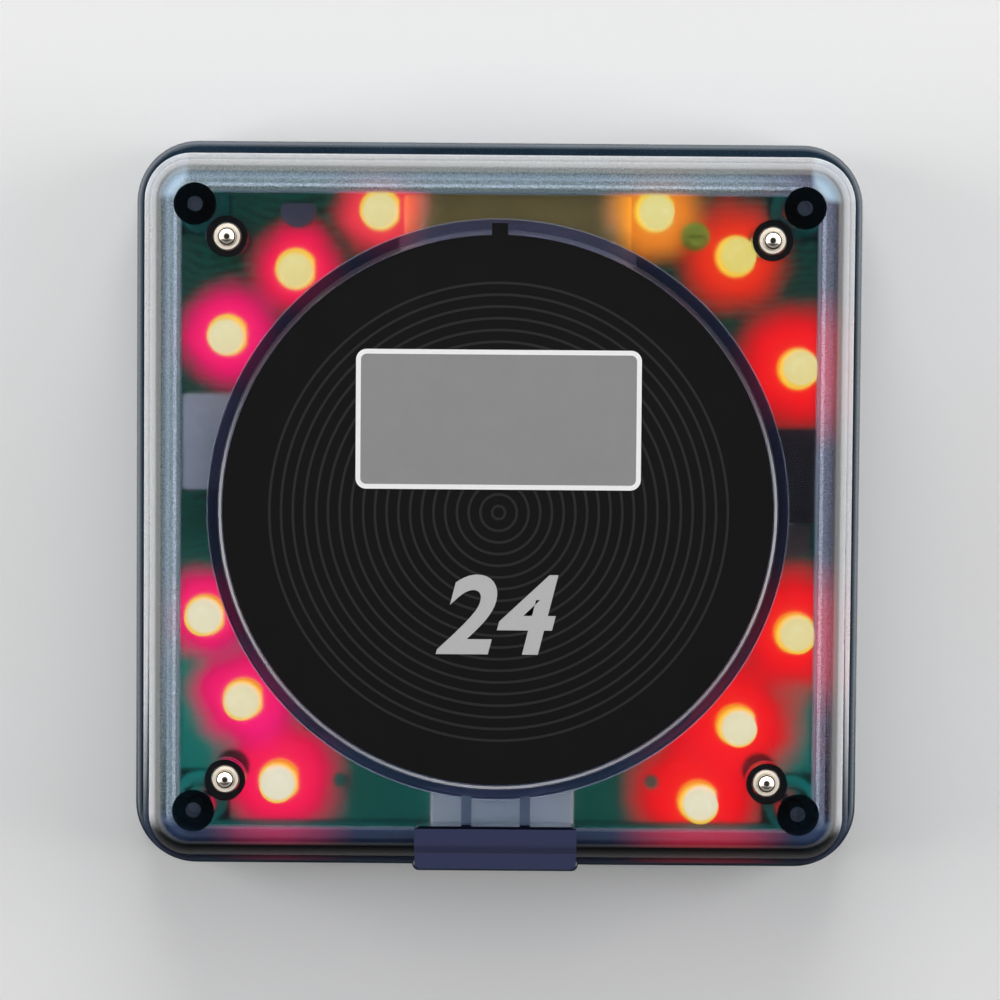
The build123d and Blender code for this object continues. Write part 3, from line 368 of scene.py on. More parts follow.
def lamp_glow(reach):
    """A node group that paints the coloured light which the twelve lamps throw on what is near them."""
    tree = bpy.data.node_groups.new("lamp light", "ShaderNodeTree")
    tree.interface.new_socket("Light", in_out="OUTPUT", socket_type="NodeSocketColor")
    halo = Wiring(tree)
    flat = halo.flat(halo.place())
    swing = halo.span(halo.noise(7 * MM, detail=2.0, place=flat), 0.0, 1.0, -1.6 * MM, 1.6 * MM)
    dark = None
    for name, (hue, _, _, stretch) in LAMPS.items():
        axis = lamp_axis(name)
        far = halo.put("VectorMath", flat, (axis.x, axis.y, 0), operation="DISTANCE", out=1)
        end = reach * stretch
        fall = halo.span(halo.calc("ADD", far, swing), end, 0.4 * end, smooth=True)
        left = halo.put("VectorMath", fall, dimmed(HALO[hue], -1), (1, 1, 1), operation="MULTIPLY_ADD")
        dark = left if dark is None else halo.put("VectorMath", dark, left, operation="MULTIPLY")
    lit = halo.put("VectorMath", (1, 1, 1), dark, operation="SUBTRACT")
    out = tree.nodes.new("NodeGroupOutput")
    tree.links.new(lit, out.inputs[0])
    return tree


# ---- building pieces


def mesh_piece(name, mesh, material, body):
    """Puts a finished mesh in the scene as a piece that rides on a body."""
    piece = bpy.data.objects.new(name, mesh)
    bpy.context.scene.collection.objects.link(piece)
    mesh.materials.clear()
    mesh.materials.append(material)
    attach(piece, body)
    return piece


def grow(name, tree, values, material, body):
    """Runs a Geometry Nodes tree once, and keeps what it makes as a plain mesh piece."""
    holder = bpy.data.objects.new(name, bpy.data.meshes.new(name + "_seed"))
    bpy.context.scene.collection.objects.link(holder)
    modifier = holder.modifiers.new("grow", "NODES")
    modifier.node_group = tree
    for item in tree.interface.items_tree:
        if item.in_out == "INPUT" and item.name in values:
            modifier[item.identifier] = values[item.name]
    depsgraph = bpy.context.evaluated_depsgraph_get()
    depsgraph.update()
    mesh = bpy.data.meshes.new_from_object(holder.evaluated_get(depsgraph))
    mesh.name = name
    holder.modifiers.remove(modifier)
    bpy.data.objects.remove(holder)
    if not mesh.polygons:
        raise RuntimeError(f"{name} came out empty")
    return mesh_piece(name, mesh, material, body)


class Tree:
    """A Geometry Nodes tree in the making, with named inputs."""

    def __init__(self, name, **inputs):
        self.tree = bpy.data.node_groups.new(name, "GeometryNodeTree")
        kinds = {int: "NodeSocketInt", float: "NodeSocketFloat", tuple: "NodeSocketVector"}
        for label, value in inputs.items():
            socket = self.tree.interface.new_socket(label, in_out="INPUT", socket_type=kinds[type(value)])
            socket.default_value = value
        self.tree.interface.new_socket("Geometry", in_out="OUTPUT", socket_type="NodeSocketGeometry")
        self.source = self.tree.nodes.new("NodeGroupInput")

    def given(self, label):
        return self.source.outputs[label]

    def put(self, kind, inputs=None, out=0, **settings):
        node = self.tree.nodes.new(kind)
        for name, value in settings.items():
            setattr(node, name, value)
        for key, value in (inputs or {}).items():
            place = node.inputs[key]
            if isinstance(value, bpy.types.NodeSocket):
                self.tree.links.new(value, place)
            else:
                place.default_value = value
        return node.outputs[out]

    def vector(self, x=0.0, y=0.0, z=0.0):
        return self.put("ShaderNodeCombineXYZ", {0: x, 1: y, 2: z})

    def finish(self, geometry, material):
        real = self.put("GeometryNodeRealizeInstances", {0: geometry})
        dressed = self.put("GeometryNodeSetMaterial", {0: real, "Material": material})
        out = self.tree.nodes.new("NodeGroupOutput")
        self.tree.links.new(dressed, out.inputs[0])
        return self.tree


def rounded_outline(width, depth, radius, steps=8):
    """Points round a rectangle with rounded corners, centred on nothing."""
    points = []
    for sx, sy, start in ((1, 1, 0), (-1, 1, 90), (-1, -1, 180), (1, -1, 270)):
        for i in range(steps + 1):
            turn = math.radians(start + 90 * i / steps)
            x = sx * (width / 2 - radius) + radius * math.cos(turn)
            y = sy * (depth / 2 - radius) + radius * math.sin(turn)
            points.append((x, y))
    return points


def frame_mesh(name, centre, low, high, outer, inner):
    """A flat frame between two outlines with equal point counts, from low to high."""
    bm = bmesh.new()
    loops = []
    for outline, z in ((outer, low), (outer, high), (inner, high), (inner, low)):
        loops.append([bm.verts.new((centre[0] + x, centre[1] + y, z)) for x, y in outline])
    for i, loop in enumerate(loops):
        other = loops[(i + 1) % 4]
        for k in range(len(loop)):
            j = (k + 1) % len(loop)
            bm.faces.new((loop[k], loop[j], other[j], other[k]))
    bmesh.ops.recalc_face_normals(bm, faces=bm.faces)
    mesh = bpy.data.meshes.new(name)
    bm.to_mesh(mesh)
    bm.free()
    return mesh


# ---- the operators


class PAGER_OT_housing(bpy.types.Operator):
    """Give the cover, base, seal and screws their finishes"""

    bl_idname = "pager.housing"
    bl_label = "Housing finishes"

    def execute(self, context):
        look = context.scene.pager_housing
        self.dress_cover(look, context.scene.pager_lamps)
        self.dress_base(look)
        self.dress_seals(look)
        self.dress_screws()
        return {"FINISHED"}

    def dress_cover(self, look, lamps):
        """Smoked plastic: polished outside, frosted inside, with a grained band under its edge."""
        smoke = Finish("smoked polycarbonate", IOR=1.585, Coat_Weight=1.0, Coat_Roughness=0.06, Coat_IOR=1.6)
        x, y, z = smoke.axes(smoke.place((0, SHIFT_Y, 0)))
        straight = COVER_SIDE - COVER_CORNER

        # How far a point lies out from the rounded square on which the corners turn.
        out_x, out_y = (
            smoke.calc("MAXIMUM", smoke.calc("SUBTRACT", smoke.calc("ABSOLUTE", way), straight), 0.0)
            for way in (x, y)
        )
        squares = smoke.calc("ADD", smoke.times(out_x, out_x), smoke.times(out_y, out_y))
        edge = smoke.calc("SQRT", squares)

        # The cover's parts, each a share that is 1 in it: inside faces, lug, grained band, ring wall, lip.
        inner = smoke.times(smoke.under(edge, COVER_CORNER - SKIN_SIDE), smoke.under(z, COVER_TOP - SKIN_TOP))
        lug = smoke.times(
            smoke.under(smoke.calc("ABSOLUTE", x), look.lug_width / 2), smoke.under(y, look.lug_reach - COVER_SIDE)
        )
        band = smoke.times(
            inner,
            smoke.span(z, *(COVER_TOP - depth for depth in BAND_UNDER_TOP), smooth=True),
            smoke.span(edge, *(COVER_CORNER - depth for depth in BAND_FROM_SIDE)),
            smoke.rest(lug),
        )
        off_label = smoke.put("VectorMath", smoke.flat(smoke.place(LABEL_CENTRE)), operation="LENGTH", out=1)
        ring = smoke.times(
            smoke.span(off_label, LABEL_RADIUS + RING_WALL, LABEL_RADIUS + RING_WALL - 0.3 * MM),
            smoke.under(z, COVER_TOP - 1.0 * MM),
            smoke.over(off_label, LABEL_RADIUS),
        )
        off_lip = smoke.calc("ABSOLUTE", smoke.calc("SUBTRACT", off_label, LABEL_RADIUS + LIP_MIDDLE))
        dull = smoke.calc("MAXIMUM", smoke.span(off_lip, LIP_HALF, 0.7 * LIP_HALF), lug)
        right = smoke.span(x, 0.75 * straight, straight, smooth=True)
        front = smoke.span(y, 1.5 * MM - straight, -1.5 * MM - straight)
        # Painted highlight: turn marks the corners where the band is painted near white.
        turn = smoke.span(smoke.times(out_x, out_y), 0.0, 4.0 * MM * MM, 0.0, 0.8, smooth=True)

        speck = smoke.span(smoke.noise(look.grain_size, detail=3.0, rough=0.7), 0.42, 0.6)
        # The grained band's frosted colour, painted darker and redder on the right, with painted shade (dark
        # blue-grey) across the front and a painted highlight (near white) round the corners.
        frost_and_painted_light = smoke.blend(speck, tone(90, 104, 90), tone(150, 160, 130))
        frost_and_painted_light = smoke.blend(right, frost_and_painted_light, smoke.blend(speck, tone(24, 10, 12), tone(96, 70, 76)))
        frost_and_painted_light = smoke.blend(turn, frost_and_painted_light, tone(236, 246, 230))
        frost_and_painted_light = smoke.blend(front, frost_and_painted_light, tone(88, 102, 128))
        tinted = smoke.blend(band, (0.97, 0.98, 1.0), frost_and_painted_light)
        # Painted light: the ring wall is painted lighter toward the front.
        painted_front_light = smoke.span(y, -12 * MM, -34 * MM)
        tinted = smoke.blend(ring, tinted, smoke.blend(painted_front_light, tone(134, 124, 142), tone(214, 210, 230)))
        smoke.link("Base Color", smoke.blend(lug, tinted, look.lug_colour))

        opaque = smoke.calc("MAXIMUM", smoke.linear(speck, 0.12, 0.82), right)
        clear = smoke.times(smoke.rest(smoke.times(band, opaque)), smoke.rest(lug), smoke.linear(ring, -0.7, 1.0))
        smoke.link("Transmission Weight", clear)

        frosted = smoke.linear(smoke.noise(6 * MM, detail=2.0), 0.08, look.cover_frost - 0.04)
        polished = smoke.linear(smoke.noise(2.5 * MM, detail=4.0), 0.05, look.cover_polish - 0.025)
        rough = smoke.put("Mix", inner, None, polished, frosted)
        smoke.link("Roughness", smoke.calc("MAXIMUM", rough, smoke.times(dull, 0.35)))
        smoke.link("Coat Weight", smoke.linear(dull, -0.9, 1.0))
        grain = smoke.noise(look.grain_size, detail=2.0, rough=0.6)
        depth = smoke.calc("MULTIPLY_ADD", band, 0.55, smoke.times(inner, 0.08))
        smoke.relief(smoke.times(grain, depth), 0.05 * MM, 0.8)

        # Painted lamp light: the lamps' glow is painted into the cover's roof and into its grained band, there
        # stronger on the right and across the front.
        in_roof = smoke.times(inner, smoke.span(z, *ROOF_LIGHT), smoke.over(off_label, LABEL_RADIUS + RING_WALL))
        roof_light = smoke.blend(in_roof, (0, 0, 0), smoke.light(lamp_glow(lamps.roof_reach)))
        in_band = smoke.times(band, smoke.calc("MAXIMUM", smoke.span(right, 0.0, 1.0, 0.12, 1.0), front))
        band_light = smoke.blend(in_band, (0, 0, 0), smoke.light(lamp_glow(1.15 * lamps.board_reach)))
        parts = (lamps.roof_glow / lamps.band_glow,) * 3
        smoke.glow(smoke.put("VectorMath", roof_light, parts, band_light, operation="MULTIPLY_ADD"), lamps.band_glow)

        # Light passes to what the cover holds, so that the lamps and board are lit as if it were open.
        open_air = smoke.put("BsdfTransparent", (1, 1, 1, 1))
        shadow = smoke.put("LightPath", out=1)
        through = smoke.put("MixShader", shadow, smoke.shader.outputs[0], open_air)
        smoke.tree.links.new(through, smoke.output.inputs["Surface"])
        absorb = smoke.put("VolumeAbsorption", rgba(look.smoke_colour), look.smoke_density)
        smoke.tree.links.new(absorb, smoke.output.inputs["Volume"])
        smoke.dress("top_cover")

    def dress_base(self, look):
        base = Finish("satin base plastic", Base_Color=rgba(look.base_colour), IOR=1.5)
        pale = [c * 1.35 + 0.002 for c in look.base_colour]
        skin = base.blend(base.span(base.noise(9 * MM, detail=3.0), 0.35, 0.7), look.base_colour, pale)
        side, front, height = base.axes(
            base.put("VectorMath", base.place((0, SHIFT_Y, 0)), operation="ABSOLUTE")
        )
        within = base.times(
            base.under(base.calc("MAXIMUM", side, front), COVER_SIDE - 2.6 * MM),
            base.over(height, BASE_HIGH.z * 0.3),
        )
        # Painted light: the base's inside round the board is painted bright teal, lighter toward the front.
        painted_front_light = base.span(base.axes(base.place())[1], 0.0, BASE_LOW.y * 0.5)
        painted_inside_light = base.blend(painted_front_light, dimmed(look.painted_inside_colour, 0.35), look.painted_inside_colour)
        base.link("Base Color", base.blend(within, skin, painted_inside_light))
        spark = base.noise(look.base_grain, detail=3.0, rough=0.6)
        base.gloss(spark, 0.16, 0.32)
        base.relief(spark, 0.02 * MM, 0.5)
        base.dress("base_shell")

    def dress_seals(self, look):
        rubber = Finish("seal rubber", Roughness=0.7, Specular_IOR_Level=0.1)
        dust = rubber.noise(0.5 * MM, detail=4.0, rough=0.7)
        rubber.link("Base Color", rubber.blend(rubber.span(dust, 0.4, 0.9), look.seal_colour, tone(22, 22, 24)))
        rubber.gloss(dust, 0.55, 0.85)
        rubber.relief(dust, 0.02 * MM, 0.4)
        rubber.dress("rim_seal", "contact_seals")

    def dress_screws(self):
        tones = tone(176, 178, 182), tone(206, 206, 200)
        steel = speckled("zinc plated screw", tones, (0.22, 0.42), 0.8 * MM, "case_screws", Metallic=1.0)
        steel.relief(steel.noise(0.15 * MM), 0.004 * MM, 0.5)


class PAGER_OT_face(bpy.types.Operator):
    """Print the round face: black film, fine rings, write-on patch with its border, and the pager's number"""

    bl_idname = "pager.face"
    bl_label = "Printed face"

    def execute(self, context):
        look = context.scene.pager_face
        self.print_film(look)
        self.print_rings(look)
        self.lay_patch(look)
        self.print_number(context, look)
        return {"FINISHED"}

    def print_film(self, look):
        film = Finish("black face film", IOR=1.48, Specular_IOR_Level=0.1)
        cloud = film.span(film.noise(5 * MM, detail=4.0), 0.3, 0.8)
        film.link("Base Color", film.blend(cloud, look.label_colour, dimmed(look.label_colour, 1.25)))
        stipple = film.noise(0.12 * MM, detail=2.0)
        film.gloss(stipple, 0.44, 0.56)
        film.relief(stipple, 0.003 * MM, 0.5)
        film.dress("face_label")

    def print_rings(self, look):
        ink = Finish("grey ring ink", Roughness=0.5, Specular_IOR_Level=0.1)
        spots = ink.noise(0.4 * MM, detail=3.0)
        ink.link("Base Color", ink.blend(spots, look.ring_colour, dimmed(look.ring_colour, 0.82)))
        values = {
            "Count": look.ring_count,
            "First": look.ring_first,
            "Step": look.ring_step,
            "Width": look.ring_width,
            "Height": look.ink_height,
            "Centre": (LABEL_CENTRE.x + 0.1 * MM, LABEL_CENTRE.y - 0.2 * MM, LABEL_HIGH.z + look.ink_height / 2),
        }
        rings = Tree("printed rings", **values)
        given = rings.given
        stack = {"Count": given("Count"), "Start Location": given("Centre"), "Offset": (0, 0, 0)}
        points = rings.put("GeometryNodeMeshLine", stack)
        steps = {0: rings.put("GeometryNodeInputIndex"), 1: given("Step"), 2: given("First")}
        radius = rings.put("ShaderNodeMath", steps, operation="MULTIPLY_ADD")
        circle = rings.put("GeometryNodeCurvePrimitiveCircle", {"Resolution": 144, "Radius": 1.0})
        spread = {"Points": points, "Instance": circle, "Scale": rings.vector(radius, radius, 1.0)}
        circles = rings.put("GeometryNodeRealizeInstances", {0: rings.put("GeometryNodeInstanceOnPoints", spread)})
        section = {"Width": given("Width"), "Height": given("Height")}
        profile = rings.put("GeometryNodeCurvePrimitiveQuadrilateral", section)
        lines = rings.put("GeometryNodeCurveToMesh", {"Curve": circles, "Profile Curve": profile})
        lines = rings.put("GeometryNodeSetShadeSmooth", {"Geometry": lines, "Shade Smooth": False})
        grow("label_rings", rings.finish(lines, ink.material), values, ink.material, "pager")

    def lay_patch(self, look):
        patch = Finish("write-on film", Roughness=0.55, Specular_IOR_Level=0.25)
        haze = patch.span(patch.noise(3 * MM, detail=5.0, rough=0.6), 0.3, 0.8)
        patch.link("Base Color", patch.blend(haze, look.patch_colour, dimmed(look.patch_colour, 0.95)))
        tooth = patch.noise(0.1 * MM, detail=2.0)
        patch.gloss(tooth, 0.45, 0.62)
        patch.relief(tooth, 0.004 * MM, 0.5)
        patch.dress("number_patch")

        white = Finish("white border ink", Roughness=0.5)
        spots = white.noise(0.6 * MM, detail=3.0)
        white.link("Base Color", white.blend(spots, tone(250, 250, 250), tone(240, 240, 240)))
        wide, deep, _ = PATCH_HIGH - PATCH_LOW
        outer = rounded_outline(wide, deep, look.border_round)
        width = look.border_width
        inner = rounded_outline(wide - 2 * width, deep - 2 * width, look.border_round - width)
        middle = (PATCH_LOW + PATCH_HIGH) / 2
        border = frame_mesh("patch_border", middle, LABEL_HIGH.z, PATCH_HIGH.z + look.ink_height, outer, inner)
        mesh_piece("patch_border", border, white.material, "pager")

    def print_number(self, context, look):
        grey = Finish("number ink", Roughness=0.5, Specular_IOR_Level=0.25)
        spots = grey.noise(0.5 * MM, detail=3.0)
        grey.link("Base Color", grey.blend(spots, look.number_colour, dimmed(look.number_colour, 0.93)))
        text = bpy.data.curves.new("pager_number", "FONT")
        text.body = look.number
        text.size = look.number_height * 1.4
        text.shear = 0.25
        text.offset = 0.35 * MM
        text.space_character = 1.06
        text.align_x = "CENTER"
        text.align_y = "CENTER"
        text.extrude = look.ink_height / 2
        text.resolution_u = 8
        holder = bpy.data.objects.new("number_holder", text)
        context.scene.collection.objects.link(holder)
        context.view_layer.update()
        number = bpy.data.meshes.new_from_object(holder.evaluated_get(context.evaluated_depsgraph_get()))
        bpy.data.objects.remove(holder)
        across = [v.co.x for v in number.vertices]
        along = [v.co.y for v in number.vertices]
        spot = Vector((
            -(min(across) + max(across)) / 2,
            -(min(along) + max(along)) / 2 + LABEL_CENTRE.y - look.number_drop,
            LABEL_HIGH.z + 1.5 * look.ink_height,
        ))
        number.transform(Matrix.Translation(spot))
        mesh_piece("pager_number", number, grey.material, "pager")


class PAGER_OT_contacts(bpy.types.Operator):
    """Plate the sprung charging contacts and the studs below"""

    bl_idname = "pager.contacts"
    bl_label = "Charging contacts"

    def execute(self, context):
        for title, low, high, names in (
            ("bright nickel plate", 0.07, 0.18, (*family("contact_plunger"), "stack_contacts")),
            ("satin nickel plate", 0.5, 0.6, family("contact_sleeve")),
        ):
            plate = Finish(title, Metallic=1.0)
            wear = plate.noise(0.7 * MM, detail=4.0, rough=0.6)
            metal = plate.blend(wear, tone(252, 243, 230), tone(240, 228, 212))
            # Painted shade: the contacts are painted dark deeper than 2.2 mm under the cover's top.
            height = plate.axes(plate.place())[2]
            painted_shade = plate.span(height, COVER_TOP - 2.2 * MM, COVER_TOP - 3.0 * MM)
            plate.link("Base Color", plate.blend(painted_shade, metal, tone(70, 62, 70)))
            plate.gloss(wear, low, high)
            plate.relief(plate.noise(0.12 * MM, detail=2.0), 0.002 * MM, 0.5)
            plate.dress(*names)

        wire = Finish("spring wire", Metallic=1.0, Roughness=0.25)
        wire.link("Base Color", wire.blend(wire.noise(0.3 * MM), tone(200, 200, 202), tone(168, 168, 172)))
        wire.dress(*family("contact_spring"))
        return {"FINISHED"}


class PAGER_OT_lamps(bpy.types.Operator):
    """Light the twelve lamps"""

    bl_idname = "pager.lamps"
    bl_label = "Lit lamps"

    def execute(self, context):
        look = context.scene.pager_lamps
        for name, (_, lean, cream, _) in LAMPS.items():
            axis = lamp_axis(name)
            middle = [y + (c - y) * cream for y, c in zip(look.core_colour, look.cream_colour)]
            lens = Finish("lit lamp " + name[-2:], Base_Color=(0.05, 0.04, 0.03, 1.0), Roughness=0.35)

            # The light in a lens is measured square to the line on which the reader sees it.
            point = lens.place(axis - Vector((0, 0, look.waist)))
            tilt = (axis - READER) / (READER.z - axis.z)
            height = lens.axes(point)[2]
            drift = lens.put("VectorMath", height, (tilt.x, tilt.y, 0), operation="MULTIPLY")
            flat = lens.flat(lens.put("VectorMath", point, drift, operation="ADD"))
            spot = (lean[0] * MM, lean[1] * MM, 0)
            off_core = lens.put("VectorMath", flat, spot, operation="DISTANCE", out=1)
            off_axis = lens.put("VectorMath", flat, operation="LENGTH", out=1)
            core = lens.span(off_core, look.core_radius, look.rim_radius, smooth=True)
            skirt = lens.span(off_axis, look.rim_radius + 0.05 * MM, look.rim_radius + 0.45 * MM, smooth=True)
            inner = lens.blend(core, middle, look.rim_colour)
            lens.glow(lens.blend(skirt, inner, look.skirt_colour), look.lens_glow)
            lens.dress(name)

        tin = Finish("tinned lead", Metallic=1.0, Roughness=0.3)
        spots = tin.noise(0.3 * MM, detail=3.0)
        tin.link("Base Color", tin.blend(spots, tone(206, 206, 202), tone(178, 178, 176)))
        tin.dress("led_leads", "microcontroller_pins")
        return {"FINISHED"}


class PAGER_OT_board(bpy.types.Operator):
    """Finish the circuit board with its mask, tracks and solder joints"""

    bl_idname = "pager.board"
    bl_label = "Circuit board"

    def execute(self, context):
        look = context.scene.pager_board
        self.dress_board(look, context.scene.pager_lamps)
        self.solder_lamps(context, look)
        self.dress_small_parts()
        return {"FINISHED"}

    def dress_board(self, look, lamps):
        """Solder mask, darker at the back and teal toward the front, where its tracks show stronger, with the lamps'
        light painted on.
        """
        board = Finish("green solder mask", Roughness=0.35, IOR=1.5)
        bend = board.noise(9 * MM, detail=1.0, colour=True)
        warped = board.put("VectorMath", bend, (5 * MM, 5 * MM, 0), board.place(), operation="MULTIPLY_ADD")
        runs = board.tree.nodes.new("ShaderNodeTexBrick")
        for name, value in (
            ("Scale", 1.0),
            ("Brick Width", 7.0 * MM),
            ("Row Height", look.track_pitch),
            ("Mortar Size", look.track_gap),
            ("Mortar Smooth", 0.1),
        ):
            runs.inputs[name].default_value = value
        board.tree.links.new(warped, runs.inputs["Vector"])
        gaps = runs.outputs["Fac"]
        weave = board.noise(0.5 * MM, detail=2.0)
        toward_front = board.span(board.axes(warped)[1], 2 * MM, -24 * MM, smooth=True)
        bare = board.blend(weave, look.mask_colour, dimmed(look.mask_colour, 0.86))
        ground = board.blend(toward_front, bare, look.track_colour)
        tracks = board.times(gaps, board.span(toward_front, 0.0, 1.0, 0.25, 0.8))
        copper = board.blend(tracks, ground, dimmed(look.track_colour, 1.25))
        # Painted lamp light: the lamps' glow is painted on the board, and under it the mask is painted near black so
        # that the glow keeps its own red.
        light = board.light(lamp_glow(lamps.board_reach))
        red = board.put("SeparateColor", light)
        board.link("Base Color", board.blend(board.span(red, 0.05, 0.75), copper, (0.02, 0.0, 0.0)))
        board.relief(board.calc("ADD", gaps, board.times(weave, 0.15)), 0.03 * MM, 0.6)
        board.glow(light, lamps.board_glow)
        board.dress("circuit_board", "chip_resistors")

    def solder_lamps(self, context, look):
        """A small cone of solder round each lead of each lamp."""
        solder = Finish("solder", Metallic=1.0)
        frost = solder.noise(0.25 * MM, detail=4.0)
        solder.link("Base Color", solder.blend(frost, tone(208, 208, 206), tone(170, 172, 176)))
        solder.gloss(frost, 0.2, 0.45)
        spots = []
        for name in LAMPS:
            axis = lamp_axis(name)
            spots += [(axis.x + side * LEAD_PITCH / 2, axis.y, 0) for side in (-1, 1)]
        seeds = bpy.data.meshes.new("joint spots")
        seeds.from_pydata(spots, [], [])
        holder = bpy.data.objects.new("joint spots", seeds)
        context.scene.collection.objects.link(holder)
        values = {"Radius": look.joint_radius, "Height": look.joint_height, "Top": BOARD_HIGH.z}
        joints = Tree("solder joints", **values)
        given = joints.given
        source = joints.put("GeometryNodeObjectInfo", {"Object": holder}, out="Geometry")
        lift = {"Geometry": source, "Translation": joints.vector(z=given("Top"))}
        raised = joints.put("GeometryNodeTransform", lift)
        shape = {"Vertices": 12, "Side Segments": 2, "Radius Top": 0.4, "Radius Bottom": 1.0, "Depth": 1.0}
        cone = joints.put("GeometryNodeMeshCone", shape)
        size = joints.vector(given("Radius"), given("Radius"), given("Height"))
        dots = joints.put("GeometryNodeInstanceOnPoints", {"Points": raised, "Instance": cone, "Scale": size})
        grow("solder_joints", joints.finish(dots, solder.material), values, solder.material, "pager")
        bpy.data.objects.remove(holder)

    def dress_small_parts(self):
        for title, first, second, rough, size, *names in (
            ("moulding compound", tone(30, 30, 34), tone(44, 44, 48), 0.5, 0.2, "microcontroller", "buzzer"),
            ("transistor resin", tone(96, 96, 112), tone(72, 72, 90), 0.5, 0.3, "driver_transistor"),
            ("capacitor sleeve", tone(30, 34, 72), tone(44, 48, 92), 0.25, 1.0, "capacitors"),
            ("natural nylon", tone(255, 255, 250), tone(244, 248, 236), 0.45, 1.5, "board_header", "lead_plug"),
            ("trimmer plastic", tone(176, 206, 70), tone(150, 178, 60), 0.4, 0.8, "trimmer_capacitor"),
            ("red insulation", tone(170, 26, 22), tone(146, 20, 20), 0.4, 1.0, "battery_leads"),
            ("dark insulation", tone(34, 34, 38), tone(48, 48, 52), 0.45, 1.0, "motor_leads"),
        ):
            speckled(title, (first, second), (rough - 0.08, rough + 0.1), size * MM, *names, depth=0.01 * MM)
        for title, first, second, rough, *names in (
            ("tinplate", tone(250, 250, 252), tone(226, 226, 232), 0.6, "shield_can", "quartz_crystal"),
            ("enamelled copper", tone(196, 116, 62), tone(160, 88, 48), 0.3, "antenna_loop"),
        ):
            speckled(title, (first, second), (rough - 0.08, rough + 0.12), 1.6 * MM, *names, Metallic=1.0)


class PAGER_OT_power(bpy.types.Operator):
    """Finish the battery pack, its wrap, tabs and pad"""

    bl_idname = "pager.power"
    bl_label = "Battery pack"

    def execute(self, context):
        lamps = context.scene.pager_lamps
        wrap = Finish("olive shrink film", IOR=1.5)
        cloud = wrap.noise(4 * MM, detail=4.0, rough=0.6)
        wrap.link("Base Color", wrap.blend(cloud, tone(158, 130, 66), tone(132, 110, 54)))
        # Painted lamp light: the lamps' glow is painted on the wrap.
        wrap.glow(wrap.light(lamp_glow(lamps.board_reach)), lamps.board_glow)
        crease = wrap.noise(1.4 * MM, detail=3.0)
        wrap.gloss(crease, 0.25, 0.45)
        wrap.relief(crease, 0.08 * MM, 0.5)
        wrap.dress("battery_wrap")

        tones = tone(196, 192, 184), tone(174, 170, 162)
        names = (*family("battery_cell"), "battery_tabs")
        speckled("nickel plated can", tones, (0.22, 0.4), 2 * MM, *names, rough=0.5, Metallic=1.0)

        foam = Finish("black foam", Roughness=0.95)
        cells = foam.noise(0.35 * MM, detail=2.0)
        foam.link("Base Color", foam.blend(cells, tone(24, 24, 26), tone(52, 52, 54)))
        foam.relief(cells, 0.15 * MM, 0.8)
        foam.dress("battery_pad")
        return {"FINISHED"}


class PAGER_OT_motor(bpy.types.Operator):
    """Finish the vibration motor, its boot and its eccentric weight"""

    bl_idname = "pager.motor"
    bl_label = "Vibration motor"

    def execute(self, context):
        for title, first, second, rough, *names in (
            ("satin motor steel", tone(184, 184, 186), tone(160, 160, 164), 0.32, "vibration_motor", "motor_shaft"),
            ("sintered weight", tone(150, 148, 144), tone(120, 118, 116), 0.45, "motor_weight"),
        ):
            gloss = rough - 0.1, rough + 0.12
            grain = {"rough": 0.65, "depth": 0.01 * MM}
            speckled(title, (first, second), gloss, 0.5 * MM, *names, **grain, Metallic=1.0)
        tones = tone(30, 28, 30), tone(46, 42, 46)
        grain = {"rough": 0.5, "depth": 0.02 * MM}
        speckled("motor boot rubber", tones, (0.55, 0.8), 0.4 * MM, "motor_boot", **grain)
        return {"FINISHED"}


